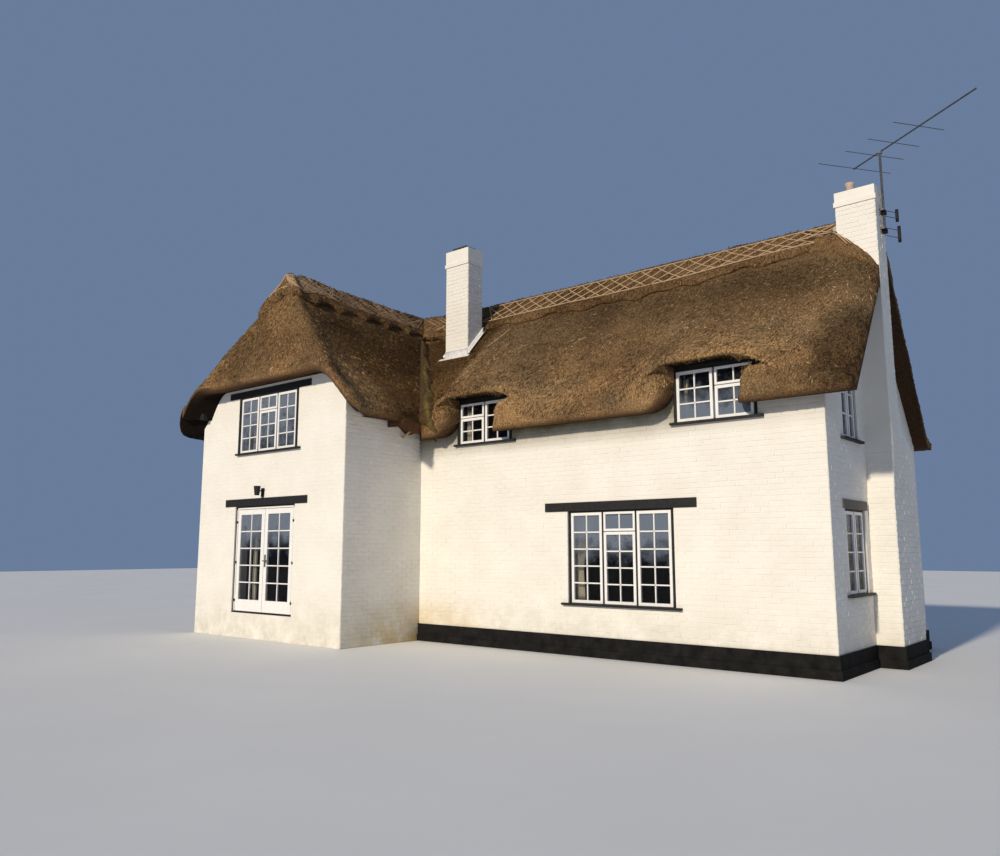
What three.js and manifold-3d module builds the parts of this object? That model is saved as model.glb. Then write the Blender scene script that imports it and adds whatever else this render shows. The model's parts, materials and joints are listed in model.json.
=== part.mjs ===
// A thatched cottage of white painted brick on an L-shaped plan: a long main range with a
// chimney on its gable end, and a wing at its left that comes forward under a half-hipped end.
// Millimetres. X runs to the right along the main front, Y goes back, Z is up.
// The house is laid out from the foot of the main range's front right corner.

import * as THREE from 'three';
import { mergeVertices } from 'three/addons/utils/BufferGeometryUtils.js';
import Module from 'manifold-3d';

const wasm = await Module();
wasm.setup();

// Plan
const RANGE_WIDTH = 4420;
const MAIN_LENGTH = 7384;
const WING_PROJECTION = 1812;
const WALL = 330;
const INNER_X = -MAIN_LENGTH;
const LEFT_X = INNER_X - RANGE_WIDTH;
const WING_Y = -WING_PROJECTION;
const BACK_Y = RANGE_WIDTH;
const RIDGE_Y = RANGE_WIDTH / 2;
const RIDGE_X = INNER_X - RANGE_WIDTH / 2;

// Levels
const FLOOR_TOP = 450;
const UPPER_FLOOR_BOTTOM = 2640;
const UPPER_FLOOR_TOP = 2860;
const SKY = 8000;

// Seams: what touches keeps a hair of room
const SEAM = 0.3;
const ROOF_SEAM = 0.6;
const SHELTER_DEEP = 100;
const DOOR_GAP = 5;

// Thatch
const EAVE_OUT = 360;
const HIP_OUT = 388;
const VERGE_FRONT = 430;
const VERGE_BACK = 200;
const MAIN_RIDGE = 6610;
const WING_RIDGE_FRONT = 6800;
const WING_RIDGE_BACK = 6700;
const THATCH_DEPTH = 590;
const MAIN_EAVE = 3590;
const BACK_EAVE = 3300;
const WING_EAVE = 3870;
const HIP_EAVE = 4670;
const HIP_CORNER_RIGHT = 4050;
const HIP_CORNER_LEFT = 3920;
const LEFT_FLARE = 120;
const LEFT_FLARE_RUN = 3000;
const HIP_RUN = 800;
const EAVE_SWEEP = 600;
const APEX_Y = -1450;
const INNER_APEX_Y = -950;
const NOSE = 240;
const NOSE_MIDDLE = 100;
const NOSE_TUCK = 0.25;
const SOFFIT_RISE = 30;
const CORNER_ROUND = 230;
const ROLL = 550;
const ROLL_DROP = 500;
const ROLL_EASE = { foot: 0.3, until: 0.12 };
const RIDGE_CAP = 120;
const RIDGE_CAP_FOOT = 0.77;

// Brows in the thatch: middle and half width of the notch at each upper window. The slope swells
// over a brow and ends there in a lip, and its underside is lifted over the window.
const BROWS = { left: { middle: -5865, half: 495 }, right: { middle: -1583, half: 598 } };
const BROW_SIDE = 110;
const BROW_LIFT = 550;
const BROW_FLAT = 450;
const BROW_SPILL = 1200;
const BROW_UNDER_LIFT = 640;
const BROW_UNDER_HALF = 690;
const LIP = 130;

// Chimneys
const BREAST = { y0: 1600, y1: 2790, out: 361, stackOut: 340 };
// How the breast draws in to its stack: how far past it on each side, at each height, and its lean
const REAR_SHOULDER = [[620, 3060], [110, 3380], [40, 3700], [0, 4450]];
const FRONT_SHOULDER = [[0, 3400], [30, 2900], [120, 2360]];
const LEAN = { low: 3200, high: 3800 };
const GABLE_STACK = { x0: -230, y0: 1720, y1: 2170, capZ: 6790, top: 7020, foot: 5300 };
const VALLEY_STACK = { x0: -7870, x1: -7270, y0: 1150, y1: 1580, capZ: 7360, top: 7700 };
const STACK_LIP = 22;
const LIP_COURSE = 75;
const UPPER_LIP = 8;
const COWL = { x: [-7760, -7380], y: [1210, 1520], legs: 55, leg: 40, plate: 22 };
const FLASHING = { past: 120, behind: 40, thick: 26 };
const POT = { x: -60, y: 1945, foot: 95, neck: 82, rim: 100, wall: 22, tall: 230 };
const POT_RIM_FROM = 0.8;
const POT_NECK_AT = 0.72;

// Plinth and aerials
const PLINTH = { low: 2, step: 120, top: 300, stepOut: 50, out: 28 };
const MAST = { x: 395, y: 1960, z: [6350, 7610], radius: 19 };
const BOOM = { front: [1880, 930], back: [-95, 2340], z: 7610, radius: 13, clamp: 18 };
const ELEMENTS = [
  { along: 0.01, half: 670 },
  { along: 0.2, half: 520 },
  { along: 0.37, half: 450 },
  { along: 0.58, half: 430 },
];
const ELEMENT_RADIUS = 6;
const DIPOLES = [
  { z: 6620, reach: 230, half: 90 },
  { z: 6330, reach: 250, half: 120 },
];
const DIPOLE_RADIUS = 14;
const DIPOLE_LEAN = 0.55;
const BRACKET = { above: 60, half: 22, thick: 14 };
const BOOM_CLAMP_HALF = 24;
const LANTERN = { x: -9690, z: 2690, reach: 130, top: 70, foot: 48, tall: 170 };
const LANTERN_PLATE = { half: 45, thick: 15, z: [2580, 2740] };
const LANTERN_ARM = 10;

// Timber and glass
const FRAME_IN = 30;
const FRAME_DEEP = 70;
const GLASS = 6;
const STILE = 45;
const MULLION = 70;
const SILL_OUT = 60;
const SILL_THICK = 35;
const SILL_PAST = 130;
const LINTEL_OUT = 15;
const LINTEL_IN = 100;
const SURROUND = 28;

// Windows by wall. Spans run along the wall to the right, seen from outside.
const FRONT_WINDOWS = [
  { name: 'front_lower_window', span: [-4060, -2249], z: [792, 2212], panels: 3 },
  { name: 'front_upper_left_window', span: [-6379, -5252], z: [3466, 4230], panels: 2 },
  { name: 'front_upper_right_window', span: [-2087, -939], z: [3442, 4230], panels: 2 },
];
const WING_WINDOWS = [
  { name: 'wing_upper_window', span: [-10450, -8730], z: [3439, 4524], panels: 3 },
];
const GABLE_WINDOWS = [
  { name: 'gable_lower_window', span: [600, 1410], z: [1020, 2155], panels: 2 },
  { name: 'gable_upper_window', span: [700, 1310], z: [3130, 4150], panels: 2 },
];
const BACK_WINDOWS = [
  { name: 'back_lower_window_1', span: [2249, 4060], z: [792, 2212], panels: 3 },
  { name: 'back_lower_window_2', span: [8730, 10450], z: [792, 2212], panels: 3 },
  { name: 'back_upper_window_1', span: [939, 2087], z: [3150, 3920], panels: 2 },
  { name: 'back_upper_window_2', span: [5252, 6379], z: [3150, 3920], panels: 2 },
];
const LEFT_WINDOWS = [
  { name: 'left_lower_window', span: [-2200, -1052], z: [992, 2212], panels: 2 },
  { name: 'left_upper_window', span: [-2200, -1052], z: [3080, 3640], panels: 2 },
];
const DOOR = { x0: -10531, x1: -8742, z1: 2425 };
const DOOR_FRAME = 60;
const LEAF_THICK = 44;
const LEAF_STILE = 95;
const LEAF_RAIL = 210;
const LEAF_MEETING = 9;
const HANDLE = { z: 1410, plateHalf: 20, plateTall: 110, plate: 8, stem: 9, out: 50, lever: 115 };
const HINGE = { radius: 7, proud: 9, half: 45, flap: 38, plate: 4, heights: [700, 1400, 2150] };
const LINTELS = [
  { name: 'front_lower_lintel', wall: 'main', span: [-4519, -1851], z: [2212, 2350] },
  { name: 'wing_upper_lintel', wall: 'wing', span: [-10889, -8344], z: [4524, 4647] },
  { name: 'door_lintel', wall: 'wing', span: [-10886, -8358], z: [2425, 2563] },
  { name: 'gable_lower_lintel', wall: 'gable', span: [477, 1529], z: [2155, 2281] },
];

const PAINT = {
  brick: [0xe9e5da, 0.85, 0],
  thatch: [0x6d5138, 0.95, 0],
  ridge: [0x7a5233, 0.95, 0],
  black: [0x1b1a19, 0.6, 0],
  white: [0xf1f0ec, 0.45, 0],
  glass: [0x6f7f8c, 0.08, 0],
  floor: [0x8d7a64, 0.8, 0],
  lead: [0xa7a9aa, 0.6, 0.3],
  pot: [0xd8c9ae, 0.85, 0],
  metal: [0x8a8d90, 0.4, 0.9],
};

const house = new THREE.Group();

function add(name, geometry, paint, parent = house) {
  const [color, roughness, metalness] = PAINT[paint];
  const mesh = new THREE.Mesh(geometry, new THREE.MeshStandardMaterial({ color, roughness, metalness }));
  mesh.name = name;
  parent.add(mesh);
  return mesh;
}

// Solids

function block(x, y, z) {
  const box = new THREE.BoxGeometry(x[1] - x[0], y[1] - y[0], z[1] - z[0]);
  return box.translate((x[0] + x[1]) / 2, (y[0] + y[1]) / 2, (z[0] + z[1]) / 2);
}

function grow(span, by) {
  return [span[0] - by, span[1] + by];
}

function solid(geometry) {
  const bare = geometry.clone();
  bare.deleteAttribute('normal');
  bare.deleteAttribute('uv');
  const merged = mergeVertices(bare, 1e-3);
  const mesh = new wasm.Mesh({
    numProp: 3,
    vertProperties: new Float32Array(merged.attributes.position.array),
    triVerts: new Uint32Array(merged.index.array),
  });
  return new wasm.Manifold(mesh);
}

function blockSolid(x, y, z) {
  return solid(block(x, y, z));
}

function geometryOf(manifold) {
  const mesh = manifold.getMesh();
  const geometry = new THREE.BufferGeometry();
  geometry.setAttribute('position', new THREE.BufferAttribute(mesh.vertProperties, 3));
  geometry.setIndex(new THREE.BufferAttribute(mesh.triVerts, 1));
  return geometry;
}

function carve(manifold, tools) {
  return tools.reduce((rest, tool) => rest.subtract(tool), manifold);
}

function join(manifolds) {
  return manifolds.reduce((whole, piece) => whole.add(piece));
}

// A skin through sections. A section is a top and a bottom chain of points that both run from the
// front to the back and are cut into triangles alike, so that a skin laid on another one fits it.
// Each end is closed by a strip between its two chains.
function loft(sections, ends = [true, true]) {
  const corners = [];
  const indices = [];
  const rings = sections.map(({ top, bottom }) => [...top, ...[...bottom].reverse()]);
  const count = rings[0].length;
  const topCount = sections[0].top.length;
  rings.forEach((ring) => ring.forEach((p) => corners.push(p.x, p.y, p.z)));
  for (let r = 0; r + 1 < rings.length; r += 1) {
    for (let i = 0; i < count; i += 1) {
      const a = r * count + i;
      const b = r * count + ((i + 1) % count);
      if (i < topCount) indices.push(a, b, b + count, a, b + count, a + count);
      else indices.push(a, b, a + count, b, b + count, a + count);
    }
  }
  const cap = (r, flip) => {
    const { top, bottom } = sections[r];
    const base = r * count;
    const triangle = (a, b, c) => indices.push(base + a, base + (flip ? c : b), base + (flip ? b : c));
    let i = 0;
    let j = 0;
    while (i < top.length - 1 || j < bottom.length - 1) {
      const above = count - 1 - j;
      const bottomDone = j === bottom.length - 1;
      if (bottomDone || (i < top.length - 1 && top[i + 1].y <= bottom[j + 1].y)) {
        triangle(above, i + 1, i);
        i += 1;
      } else {
        triangle(above, above - 1, i);
        j += 1;
      }
    }
  };
  if (ends[0]) cap(0, false);
  if (ends[1]) cap(rings.length - 1, true);
  const geometry = new THREE.BufferGeometry();
  geometry.setAttribute('position', new THREE.Float32BufferAttribute(corners, 3));
  geometry.setIndex(indices);
  return closedSkin(geometry);
}

// Merges the points, drops triangles without area and turns the faces outward
function closedSkin(geometry) {
  const merged = mergeVertices(geometry, 1e-2);
  const index = merged.index.array;
  const position = merged.attributes.position;
  const kept = [];
  for (let i = 0; i < index.length; i += 3) {
    const [a, b, c] = [index[i], index[i + 1], index[i + 2]];
    if (a !== b && b !== c && c !== a) kept.push(a, b, c);
  }
  let volume = 0;
  const p = new THREE.Vector3();
  const q = new THREE.Vector3();
  const s = new THREE.Vector3();
  for (let i = 0; i < kept.length; i += 3) {
    p.fromBufferAttribute(position, kept[i]);
    q.fromBufferAttribute(position, kept[i + 1]);
    s.fromBufferAttribute(position, kept[i + 2]);
    volume += p.dot(q.cross(s));
  }
  if (volume < 0) {
    for (let i = 0; i < kept.length; i += 3) {
      [kept[i + 1], kept[i + 2]] = [kept[i + 2], kept[i + 1]];
    }
  }
  merged.setIndex(kept);
  return merged;
}

// Thatch
// Each half section runs from the soffit at the wall, round the nose of the eave and up to the
// ridge. eave and wall are plan points, ridge and inner are plan points with heights.

const SURFACE_STEPS = [0.12, 0.3, 0.5, RIDGE_CAP_FOOT, 1];
const UNDER_STEPS = [0.15, 0.4, 0.7];
const BROW_FADE = 2;

function between(a, b, t) {
  return a + (b - a) * t;
}

function smooth(t) {
  const c = Math.min(1, Math.max(0, t));
  return c * c * (3 - 2 * c);
}

// How the thatch swells at x: its surface, its underside over the wall, and how far the notch
// at a window has opened, from 0 to 1
function browAt(x) {
  const weight = (widen, side) => Object.values(BROWS).reduce((most, { middle, half }) => {
    const past = Math.abs(x - middle) - widen(half);
    return Math.max(most, 1 - smooth(past / side));
  }, 0);
  return {
    surface: BROW_LIFT * weight(() => BROW_FLAT, BROW_SPILL),
    under: BROW_UNDER_LIFT * weight(() => BROW_UNDER_HALF, BROW_SIDE),
    notch: weight((half) => half, BROW_SIDE),
  };
}

const NO_BROW = { surface: 0, under: 0, notch: 0 };

function vergeX(y) {
  return between(VERGE_FRONT, VERGE_BACK, (y + EAVE_OUT) / (BACK_Y + 2 * EAVE_OUT));
}

function rollDrop(x, y) {
  const t = Math.min(1, Math.max(0, 1 - (vergeX(y) - x) / ROLL));
  return ROLL_DROP * (1 - Math.sqrt(1 - t * t));
}

function surfacePoint(half, t) {
  const noseX = between(half.eave[0], half.wall[0], 1 / 6);
  const noseY = between(half.eave[1], half.wall[1], 1 / 6);
  const x = between(noseX, half.ridge[0], t);
  const y = between(noseY, half.ridge[1], t);
  const lift = half.brow.surface * (1 - t) ** BROW_FADE;
  const ease = between(ROLL_EASE.foot, 1, Math.min(1, t / ROLL_EASE.until));
  const z = between(half.low + NOSE, half.ridge[2], t) + lift - half.drop(x, y) * ease;
  return new THREE.Vector3(x, y, z);
}

function underPoint(half, t) {
  const x = between(half.wall[0], half.inner[0], t);
  const y = between(half.wall[1], half.inner[1], t);
  const lift = half.brow.under * (1 - t) ** BROW_FADE;
  const z = between(half.low + SOFFIT_RISE, half.inner[2], t) + lift;
  return new THREE.Vector3(x, y, z);
}

// A point of the eave's nose. Where a notch opens, the nose draws up into the lip of the brow.
function nosePoint(half, t, z) {
  const x = between(half.eave[0], half.wall[0], t);
  const y = between(half.eave[1], half.wall[1], t);
  const lipZ = half.brow.surface + NOSE - LIP + z * (LIP / NOSE);
  return new THREE.Vector3(x, y, half.low + between(z, lipZ, half.brow.notch));
}

function outerLine(half) {
  const dropped = half.drop(half.eave[0], half.eave[1]) / 4;
  return [
    nosePoint(half, NOSE_TUCK, 0),
    nosePoint(half, 0, NOSE_MIDDLE - dropped / 4),
    ...[0, ...SURFACE_STEPS].map((t) => surfacePoint(half, t)),
  ];
}

function underLine(half) {
  return [0, ...UNDER_STEPS, 1].map((t) => underPoint(half, t));
}

// Joins two chains that climb from their eaves to one ridge point
function overRidge(front, back) {
  return [...front, ...back.reverse().slice(1)];
}

function thatchSection([front, back]) {
  return {
    top: overRidge(outerLine(front), outerLine(back)),
    bottom: overRidge(underLine(front), underLine(back)),
  };
}

// The room under the thatch, down to below the ground
function shelterSection([front, back]) {
  const side = (half) => [nosePoint(half, NOSE_TUCK, 0), ...underLine(half)];
  const foot = (half) => nosePoint(half, NOSE_TUCK, 0).setZ(-SHELTER_DEEP);
  const top = overRidge(side(front), side(back));
  top.forEach((p) => p.setZ(p.z - ROOF_SEAM));
  return { top, bottom: [foot(front), foot(back)] };
}

// The saddle of reed over the ridge, from its foot on one slope to its foot on the other
function ridgeSection([front, back]) {
  const line = (half, lift) => [RIDGE_CAP_FOOT, 1].map((t) => {
    const p = surfacePoint(half, t);
    return p.setZ(p.z + lift);
  });
  return {
    top: overRidge(line(front, RIDGE_CAP), line(back, RIDGE_CAP)),
    bottom: overRidge(line(front, ROOF_SEAM), line(back, ROOF_SEAM)),
  };
}

// Main range: one station across both slopes, with its own place on each eave and on the ridge
function mainStation(frontX, ridgeX, backX) {
  const half = (x, eaveY, wallY, wallX, low) => ({
    eave: [x, eaveY],
    wall: [wallX, wallY],
    ridge: [ridgeX, RIDGE_Y, MAIN_RIDGE],
    inner: [ridgeX, RIDGE_Y, MAIN_RIDGE - THATCH_DEPTH],
    low,
    brow: browAt(x),
    drop: rollDrop,
  });
  const share = EAVE_OUT / (EAVE_OUT + RANGE_WIDTH / 2);
  return [
    half(frontX, -EAVE_OUT, 0, between(frontX, ridgeX, share), MAIN_EAVE),
    half(backX, BACK_Y + EAVE_OUT, BACK_Y, between(backX, ridgeX, share), BACK_EAVE),
  ];
}

const VALLEY_X = INNER_X + EAVE_OUT;
const HIP_X = LEFT_X - EAVE_OUT;

// Where the stations stand beside each brow: at its middle, round its notch and out to its ends
function browStations(first, last) {
  const places = Object.values(BROWS).flatMap(({ middle, half }) => {
    const notch = [0, 0.33, 0.67, 1].map((t) => half + t * BROW_SIDE);
    const under = [0, 0.5, 1].map((t) => BROW_UNDER_HALF + t * BROW_SIDE);
    const swell = [0.25, 0.5, 0.75, 1].map((t) => BROW_FLAT + t * BROW_SPILL);
    const offsets = [...notch, ...under, ...swell];
    return [middle, ...offsets.flatMap((d) => [middle - d, middle + d])];
  });
  const inside = places.filter((x) => x > first && x < last).sort((a, b) => a - b);
  return inside.filter((x, i) => i === 0 || x - inside[i - 1] > 5);
}

function mainStations() {
  const stations = [];
  [HIP_X, RIDGE_X].forEach((x) => stations.push(mainStation(VALLEY_X, RIDGE_X, x)));
  stations.push(mainStation(VALLEY_X, VALLEY_X, VALLEY_X));
  const rollStart = vergeX(BACK_Y + EAVE_OUT) - ROLL;
  browStations(VALLEY_X, rollStart).forEach((x) => stations.push(mainStation(x, x, x)));
  const turn = [0, 20, 40, 60, 75, 90].map((angle) => Math.sin(THREE.MathUtils.degToRad(angle)));
  turn.forEach((t) => {
    const at = (y) => vergeX(y) - ROLL * (1 - t);
    stations.push(mainStation(at(-EAVE_OUT), at(RIDGE_Y), at(BACK_Y + EAVE_OUT)));
  });
  return stations;
}

// Wing: stations from the diagonal joint with the main range forward and round the hip
function wingHalf(side, eave, wall, ridgeY, innerY, low) {
  const back = (ridgeY - APEX_Y) / (RIDGE_Y - APEX_Y);
  const crest = between(WING_RIDGE_FRONT, WING_RIDGE_BACK, back);
  return {
    eave: [RIDGE_X + side * eave[0], eave[1]],
    wall: [RIDGE_X + side * wall[0], wall[1]],
    ridge: [RIDGE_X, ridgeY, crest],
    inner: [RIDGE_X, innerY, crest - THATCH_DEPTH],
    low,
    brow: NO_BROW,
    drop: () => 0,
  };
}

const HALF_WIDTH = RANGE_WIDTH / 2;
const HALF_SPREAD = HALF_WIDTH + EAVE_OUT;
const HIP_Y = WING_Y - HIP_OUT;
const CORNER_ANGLES = [0, 30, 60, 90];

function hipCorner(side) {
  return side > 0 ? HIP_CORNER_RIGHT : HIP_CORNER_LEFT;
}

function spread(y, side) {
  const flare = side < 0 ? LEFT_FLARE * (1 - smooth((y - HIP_Y) / LEFT_FLARE_RUN)) : 0;
  return HALF_SPREAD + flare;
}

function sideLow(y, side) {
  const sweep = Math.max(0, 1 - (y - HIP_Y) / EAVE_SWEEP);
  const fall = side < 0 ? (WING_EAVE - BACK_EAVE) * smooth((y - RIDGE_Y) / HALF_WIDTH) : 0;
  return WING_EAVE + (hipCorner(side) - WING_EAVE) * sweep * sweep - fall;
}

function hipLow(inward, side) {
  const sweep = Math.max(0, 1 - inward / HIP_RUN);
  return HIP_EAVE - (HIP_EAVE - hipCorner(side)) * sweep * sweep;
}

function sideHalf(side, y, ridgeY, wallY = y) {
  const eave = [spread(y, side), y];
  return wingHalf(side, eave, [HALF_WIDTH, wallY], ridgeY, Math.max(ridgeY, INNER_APEX_Y), sideLow(y, side));
}

// Half sections that turn round the front corner and fan out from the ridge's front end
function cornerHalf(side, angle) {
  const turn = THREE.MathUtils.degToRad(angle);
  const reach = spread(HIP_Y, side);
  const inX = CORNER_ROUND * (1 - Math.cos(turn));
  const inY = CORNER_ROUND * (1 - Math.sin(turn));
  const low = between(sideLow(HIP_Y + inY, side), hipLow(inX, side), Math.sin(turn));
  const eave = [reach - inX, HIP_Y + inY];
  return wingHalf(side, eave, [HALF_WIDTH - inX, WING_Y + inY], APEX_Y, INNER_APEX_Y, low);
}

function hipHalf(side, inward) {
  const eave = [HALF_SPREAD - inward, HIP_Y];
  const wall = [HALF_WIDTH - inward * (HALF_WIDTH / HALF_SPREAD), WING_Y];
  return wingHalf(side, eave, wall, APEX_Y, INNER_APEX_Y, hipLow(inward, side));
}

function wingStations() {
  const valley = (ridgeY) => sideHalf(1, -EAVE_OUT, ridgeY, 0);
  const both = (half, value) => [half(1, value), half(-1, value)];
  return [
    [valley(RIDGE_Y), sideHalf(-1, BACK_Y + EAVE_OUT, RIDGE_Y, BACK_Y)],
    [valley(RIDGE_Y), sideHalf(-1, RIDGE_Y, RIDGE_Y)],
    [valley(-EAVE_OUT), sideHalf(-1, -EAVE_OUT, -EAVE_OUT)],
    ...[-900, APEX_Y].map((y) => both((side) => sideHalf(side, y, y))),
    ...CORNER_ANGLES.map((angle) => both(cornerHalf, angle)),
    ...[450, 620, HIP_RUN, HALF_SPREAD].map((inward) => both(hipHalf, inward)),
  ];
}

// Chimneys

function extrudeAlongX(profile, depth) {
  const bar = new THREE.ExtrudeGeometry(profile, { depth, bevelEnabled: false });
  return bar.rotateZ(Math.PI / 2).rotateY(Math.PI / 2);
}

function shapeOf(points) {
  return new THREE.Shape(points.map(([a, b]) => new THREE.Vector2(a, b)));
}

function stackCap(x, y, capZ, top) {
  const course = blockSolid(grow(x, STACK_LIP), grow(y, STACK_LIP), [capZ, capZ + LIP_COURSE]);
  return course.add(blockSolid(grow(x, UPPER_LIP), grow(y, UPPER_LIP), [capZ, top]));
}

function breastSolid() {
  const { y0, y1, out, stackOut } = BREAST;
  const s = GABLE_STACK;
  const rear = REAR_SHOULDER.map(([past, z]) => [s.y1 + past, z]);
  const front = FRONT_SHOULDER.map(([past, z]) => [s.y0 - past, z]);
  const outline = [[y1, 0], ...rear, [s.y1, s.capZ], [s.y0, s.capZ], ...front, [y0, 0]];
  const raised = solid(extrudeAlongX(shapeOf(outline), out));
  const past = out + WALL;
  const { low, high } = LEAN;
  const lean = shapeOf([[out, low], [past, low], [past, SKY], [stackOut, SKY], [stackOut, high]]);
  const slice = new THREE.ExtrudeGeometry(lean, { depth: BACK_Y, bevelEnabled: false });
  return raised.subtract(solid(slice.rotateX(Math.PI / 2).translate(0, BACK_Y, 0)));
}

function gableChimney() {
  const { x0, y0, y1, capZ, top, foot } = GABLE_STACK;
  const shaft = blockSolid([x0, BREAST.stackOut], [y0, y1], [foot, capZ]);
  return join([breastSolid(), shaft, stackCap([x0, BREAST.stackOut], [y0, y1], capZ, top)]);
}

function valleyChimney() {
  const { x0, x1, y0, y1, capZ, top } = VALLEY_STACK;
  const shaft = blockSolid([x0, x1], [y0, y1], [FLOOR_TOP + SEAM, capZ]);
  return shaft.add(stackCap([x0, x1], [y0, y1], capZ, top));
}

const gableShaftHole = blockSolid(
  grow([GABLE_STACK.x0, BREAST.out + WALL], SEAM),
  grow([GABLE_STACK.y0, GABLE_STACK.y1], SEAM),
  [GABLE_STACK.foot - SEAM, SKY],
);
const valleyShaftHole = blockSolid(
  grow([VALLEY_STACK.x0, VALLEY_STACK.x1], SEAM),
  grow([VALLEY_STACK.y0, VALLEY_STACK.y1], SEAM),
  [FLOOR_TOP, SKY],
);

// A sheet of lead on the slope round the foot of the valley chimney
function flashing() {
  const { x0, x1, y0, y1 } = VALLEY_STACK;
  const slope = mainStation(VALLEY_X, VALLEY_X, VALLEY_X)[0];
  const corners = [0, ...SURFACE_STEPS].map((t) => surfacePoint(slope, t));
  const slopeZ = (y) => {
    const i = corners.findIndex((corner) => corner.y >= y);
    const [low, high] = [corners[i - 1], corners[i]];
    return between(low.z, high.z, (y - low.y) / (high.y - low.y)) + ROOF_SEAM;
  };
  const [front, back] = [y0 - FLASHING.past, y1 + FLASHING.behind];
  const bends = corners.map((corner) => corner.y).filter((y) => y > front && y < back);
  const run = [front, ...bends, back];
  const under = run.map((y) => [y, slopeZ(y)]);
  const over = run.map((y) => [y, slopeZ(y) + FLASHING.thick]).reverse();
  const wide = grow([x0, x1], FLASHING.past);
  const sheet = extrudeAlongX(shapeOf([...under, ...over]), wide[1] - wide[0]).translate(wide[0], 0, 0);
  return solid(sheet).subtract(valleyShaftHole);
}

function cowl() {
  const { x, y, legs, leg, plate } = COWL;
  const foot = VALLEY_STACK.top + SEAM;
  const posts = x.flatMap((px, i) => y.map((py, j) => {
    const across = i === 0 ? [px, px + leg] : [px - leg, px];
    const along = j === 0 ? [py, py + leg] : [py - leg, py];
    return blockSolid(across, along, [foot, foot + legs + plate / 2]);
  }));
  return join([...posts, blockSolid(x, y, [foot + legs, foot + legs + plate])]);
}

function pot() {
  const { x, y, foot, neck, rim, wall, tall } = POT;
  const [neckZ, rimZ] = [tall * POT_NECK_AT, tall * POT_RIM_FROM];
  const outside = [[foot, 0], [neck, neckZ], [rim, rimZ], [rim, tall]];
  const profile = [...outside, [rim - wall, tall], [neck - wall, neckZ], [foot - wall, 0], [foot, 0]];
  const lathe = new THREE.LatheGeometry(profile.map(([r, z]) => new THREE.Vector2(r, z)), 20);
  return lathe.rotateX(Math.PI / 2).translate(x, y, GABLE_STACK.top + SEAM);
}

// Walls

const ROOM = [WALL + SEAM, BACK_Y - WALL - SEAM];

function windowHole({ span, z }) {
  return blockSolid(grow(span, SURROUND), [-WALL, 2 * WALL], [z[0] - SILL_THICK, z[1]]);
}

function lintelPocket({ span, z }, by = SEAM) {
  return blockSolid(grow(span, by), [-LINTEL_OUT - by, LINTEL_IN + by], grow(z, by));
}

// Where each wall's own frame lies: X along the wall to the right seen from outside, Y into it
const PLACES = {
  main: { at: [0, 0], turn: 0 },
  wing: { at: [0, WING_Y], turn: 0 },
  gable: { at: [0, 0], turn: 90 },
  back: { at: [0, BACK_Y], turn: 180 },
  left: { at: [LEFT_X, 0], turn: -90 },
};

function placed(manifold, place) {
  const { at, turn } = PLACES[place];
  return manifold.rotate([0, 0, turn]).translate([at[0], at[1], 0]);
}

function wallHoles(place, windows) {
  const lintels = LINTELS.filter((lintel) => lintel.wall === place).map((lintel) => lintelPocket(lintel));
  return [...windows.map(windowHole), ...lintels].map((hole) => placed(hole, place));
}

function makeWalls(shelter) {
  const wall = (name, x, y, z, holes) => {
    const raw = blockSolid(x, y, z).intersect(shelter);
    add(name, geometryOf(carve(raw, holes)), 'brick');
  };
  const wingDeep = [WING_Y, WING_Y + WALL];
  const full = [0, SKY];
  const doorHigh = [0, DOOR.z1];
  const wingHoles = wallHoles('wing', WING_WINDOWS);
  wall('main_front_wall', [INNER_X + SEAM, 0], [0, WALL], full, wallHoles('main', FRONT_WINDOWS));
  wall('gable_wall', [-WALL, 0], ROOM, full, [...wallHoles('gable', GABLE_WINDOWS), gableShaftHole]);
  wall('back_wall', [LEFT_X, 0], [BACK_Y - WALL, BACK_Y], full, wallHoles('back', BACK_WINDOWS));
  const sideRun = [WING_Y + WALL + SEAM, ROOM[1]];
  wall('left_wall', [LEFT_X, LEFT_X + WALL], sideRun, full, wallHoles('left', LEFT_WINDOWS));
  wall('wing_side_wall', [INNER_X - WALL, INNER_X], [sideRun[0], WALL], full, []);
  wall('door_left_pier', [LEFT_X, DOOR.x0 - SURROUND], wingDeep, doorHigh, []);
  wall('door_right_pier', [DOOR.x1 + SURROUND, INNER_X], wingDeep, doorHigh, []);
  wall('wing_upper_wall', [LEFT_X, INNER_X], wingDeep, [DOOR.z1 + SEAM, SKY], wingHoles);
}

// Floors fill the inside of both ranges
function floorSolid(z) {
  const outer = LEFT_X + WALL + SEAM;
  const inner = INNER_X - WALL - SEAM;
  const front = WING_Y + WALL + SEAM;
  const outline = shapeOf([
    [outer, front],
    [inner, front],
    [inner, ROOM[0]],
    [-WALL - SEAM, ROOM[0]],
    [-WALL - SEAM, ROOM[1]],
    [outer, ROOM[1]],
  ]);
  const slab = new THREE.ExtrudeGeometry(outline, { depth: z[1] - z[0], bevelEnabled: false });
  return solid(slab.translate(0, 0, z[0]));
}

// The wall goes on under the door, up to the floor
function doorFooting() {
  const wide = [DOOR.x0 - SURROUND + SEAM, DOOR.x1 + SURROUND - SEAM];
  return block(wide, [WING_Y, WING_Y + WALL], [0, FLOOR_TOP]);
}

// A painted band round the foot of the main range and its chimney breast
function plinth() {
  const ring = (out, z) => {
    const range = blockSolid([INNER_X, out], [-out, BACK_Y + out], z);
    return range.add(blockSolid([0, BREAST.out + out], grow([BREAST.y0, BREAST.y1], out), z));
  };
  const deep = [PLINTH.low - 1, PLINTH.top + 1];
  const step = ring(PLINTH.stepOut, [PLINTH.low, PLINTH.step]);
  const band = step.add(ring(PLINTH.out, [PLINTH.low, PLINTH.top]));
  const past = blockSolid([INNER_X - WALL, INNER_X + SEAM], grow([0, BACK_Y], WALL), deep);
  return carve(band, [ring(SEAM, deep), past]);
}

// Windows

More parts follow.
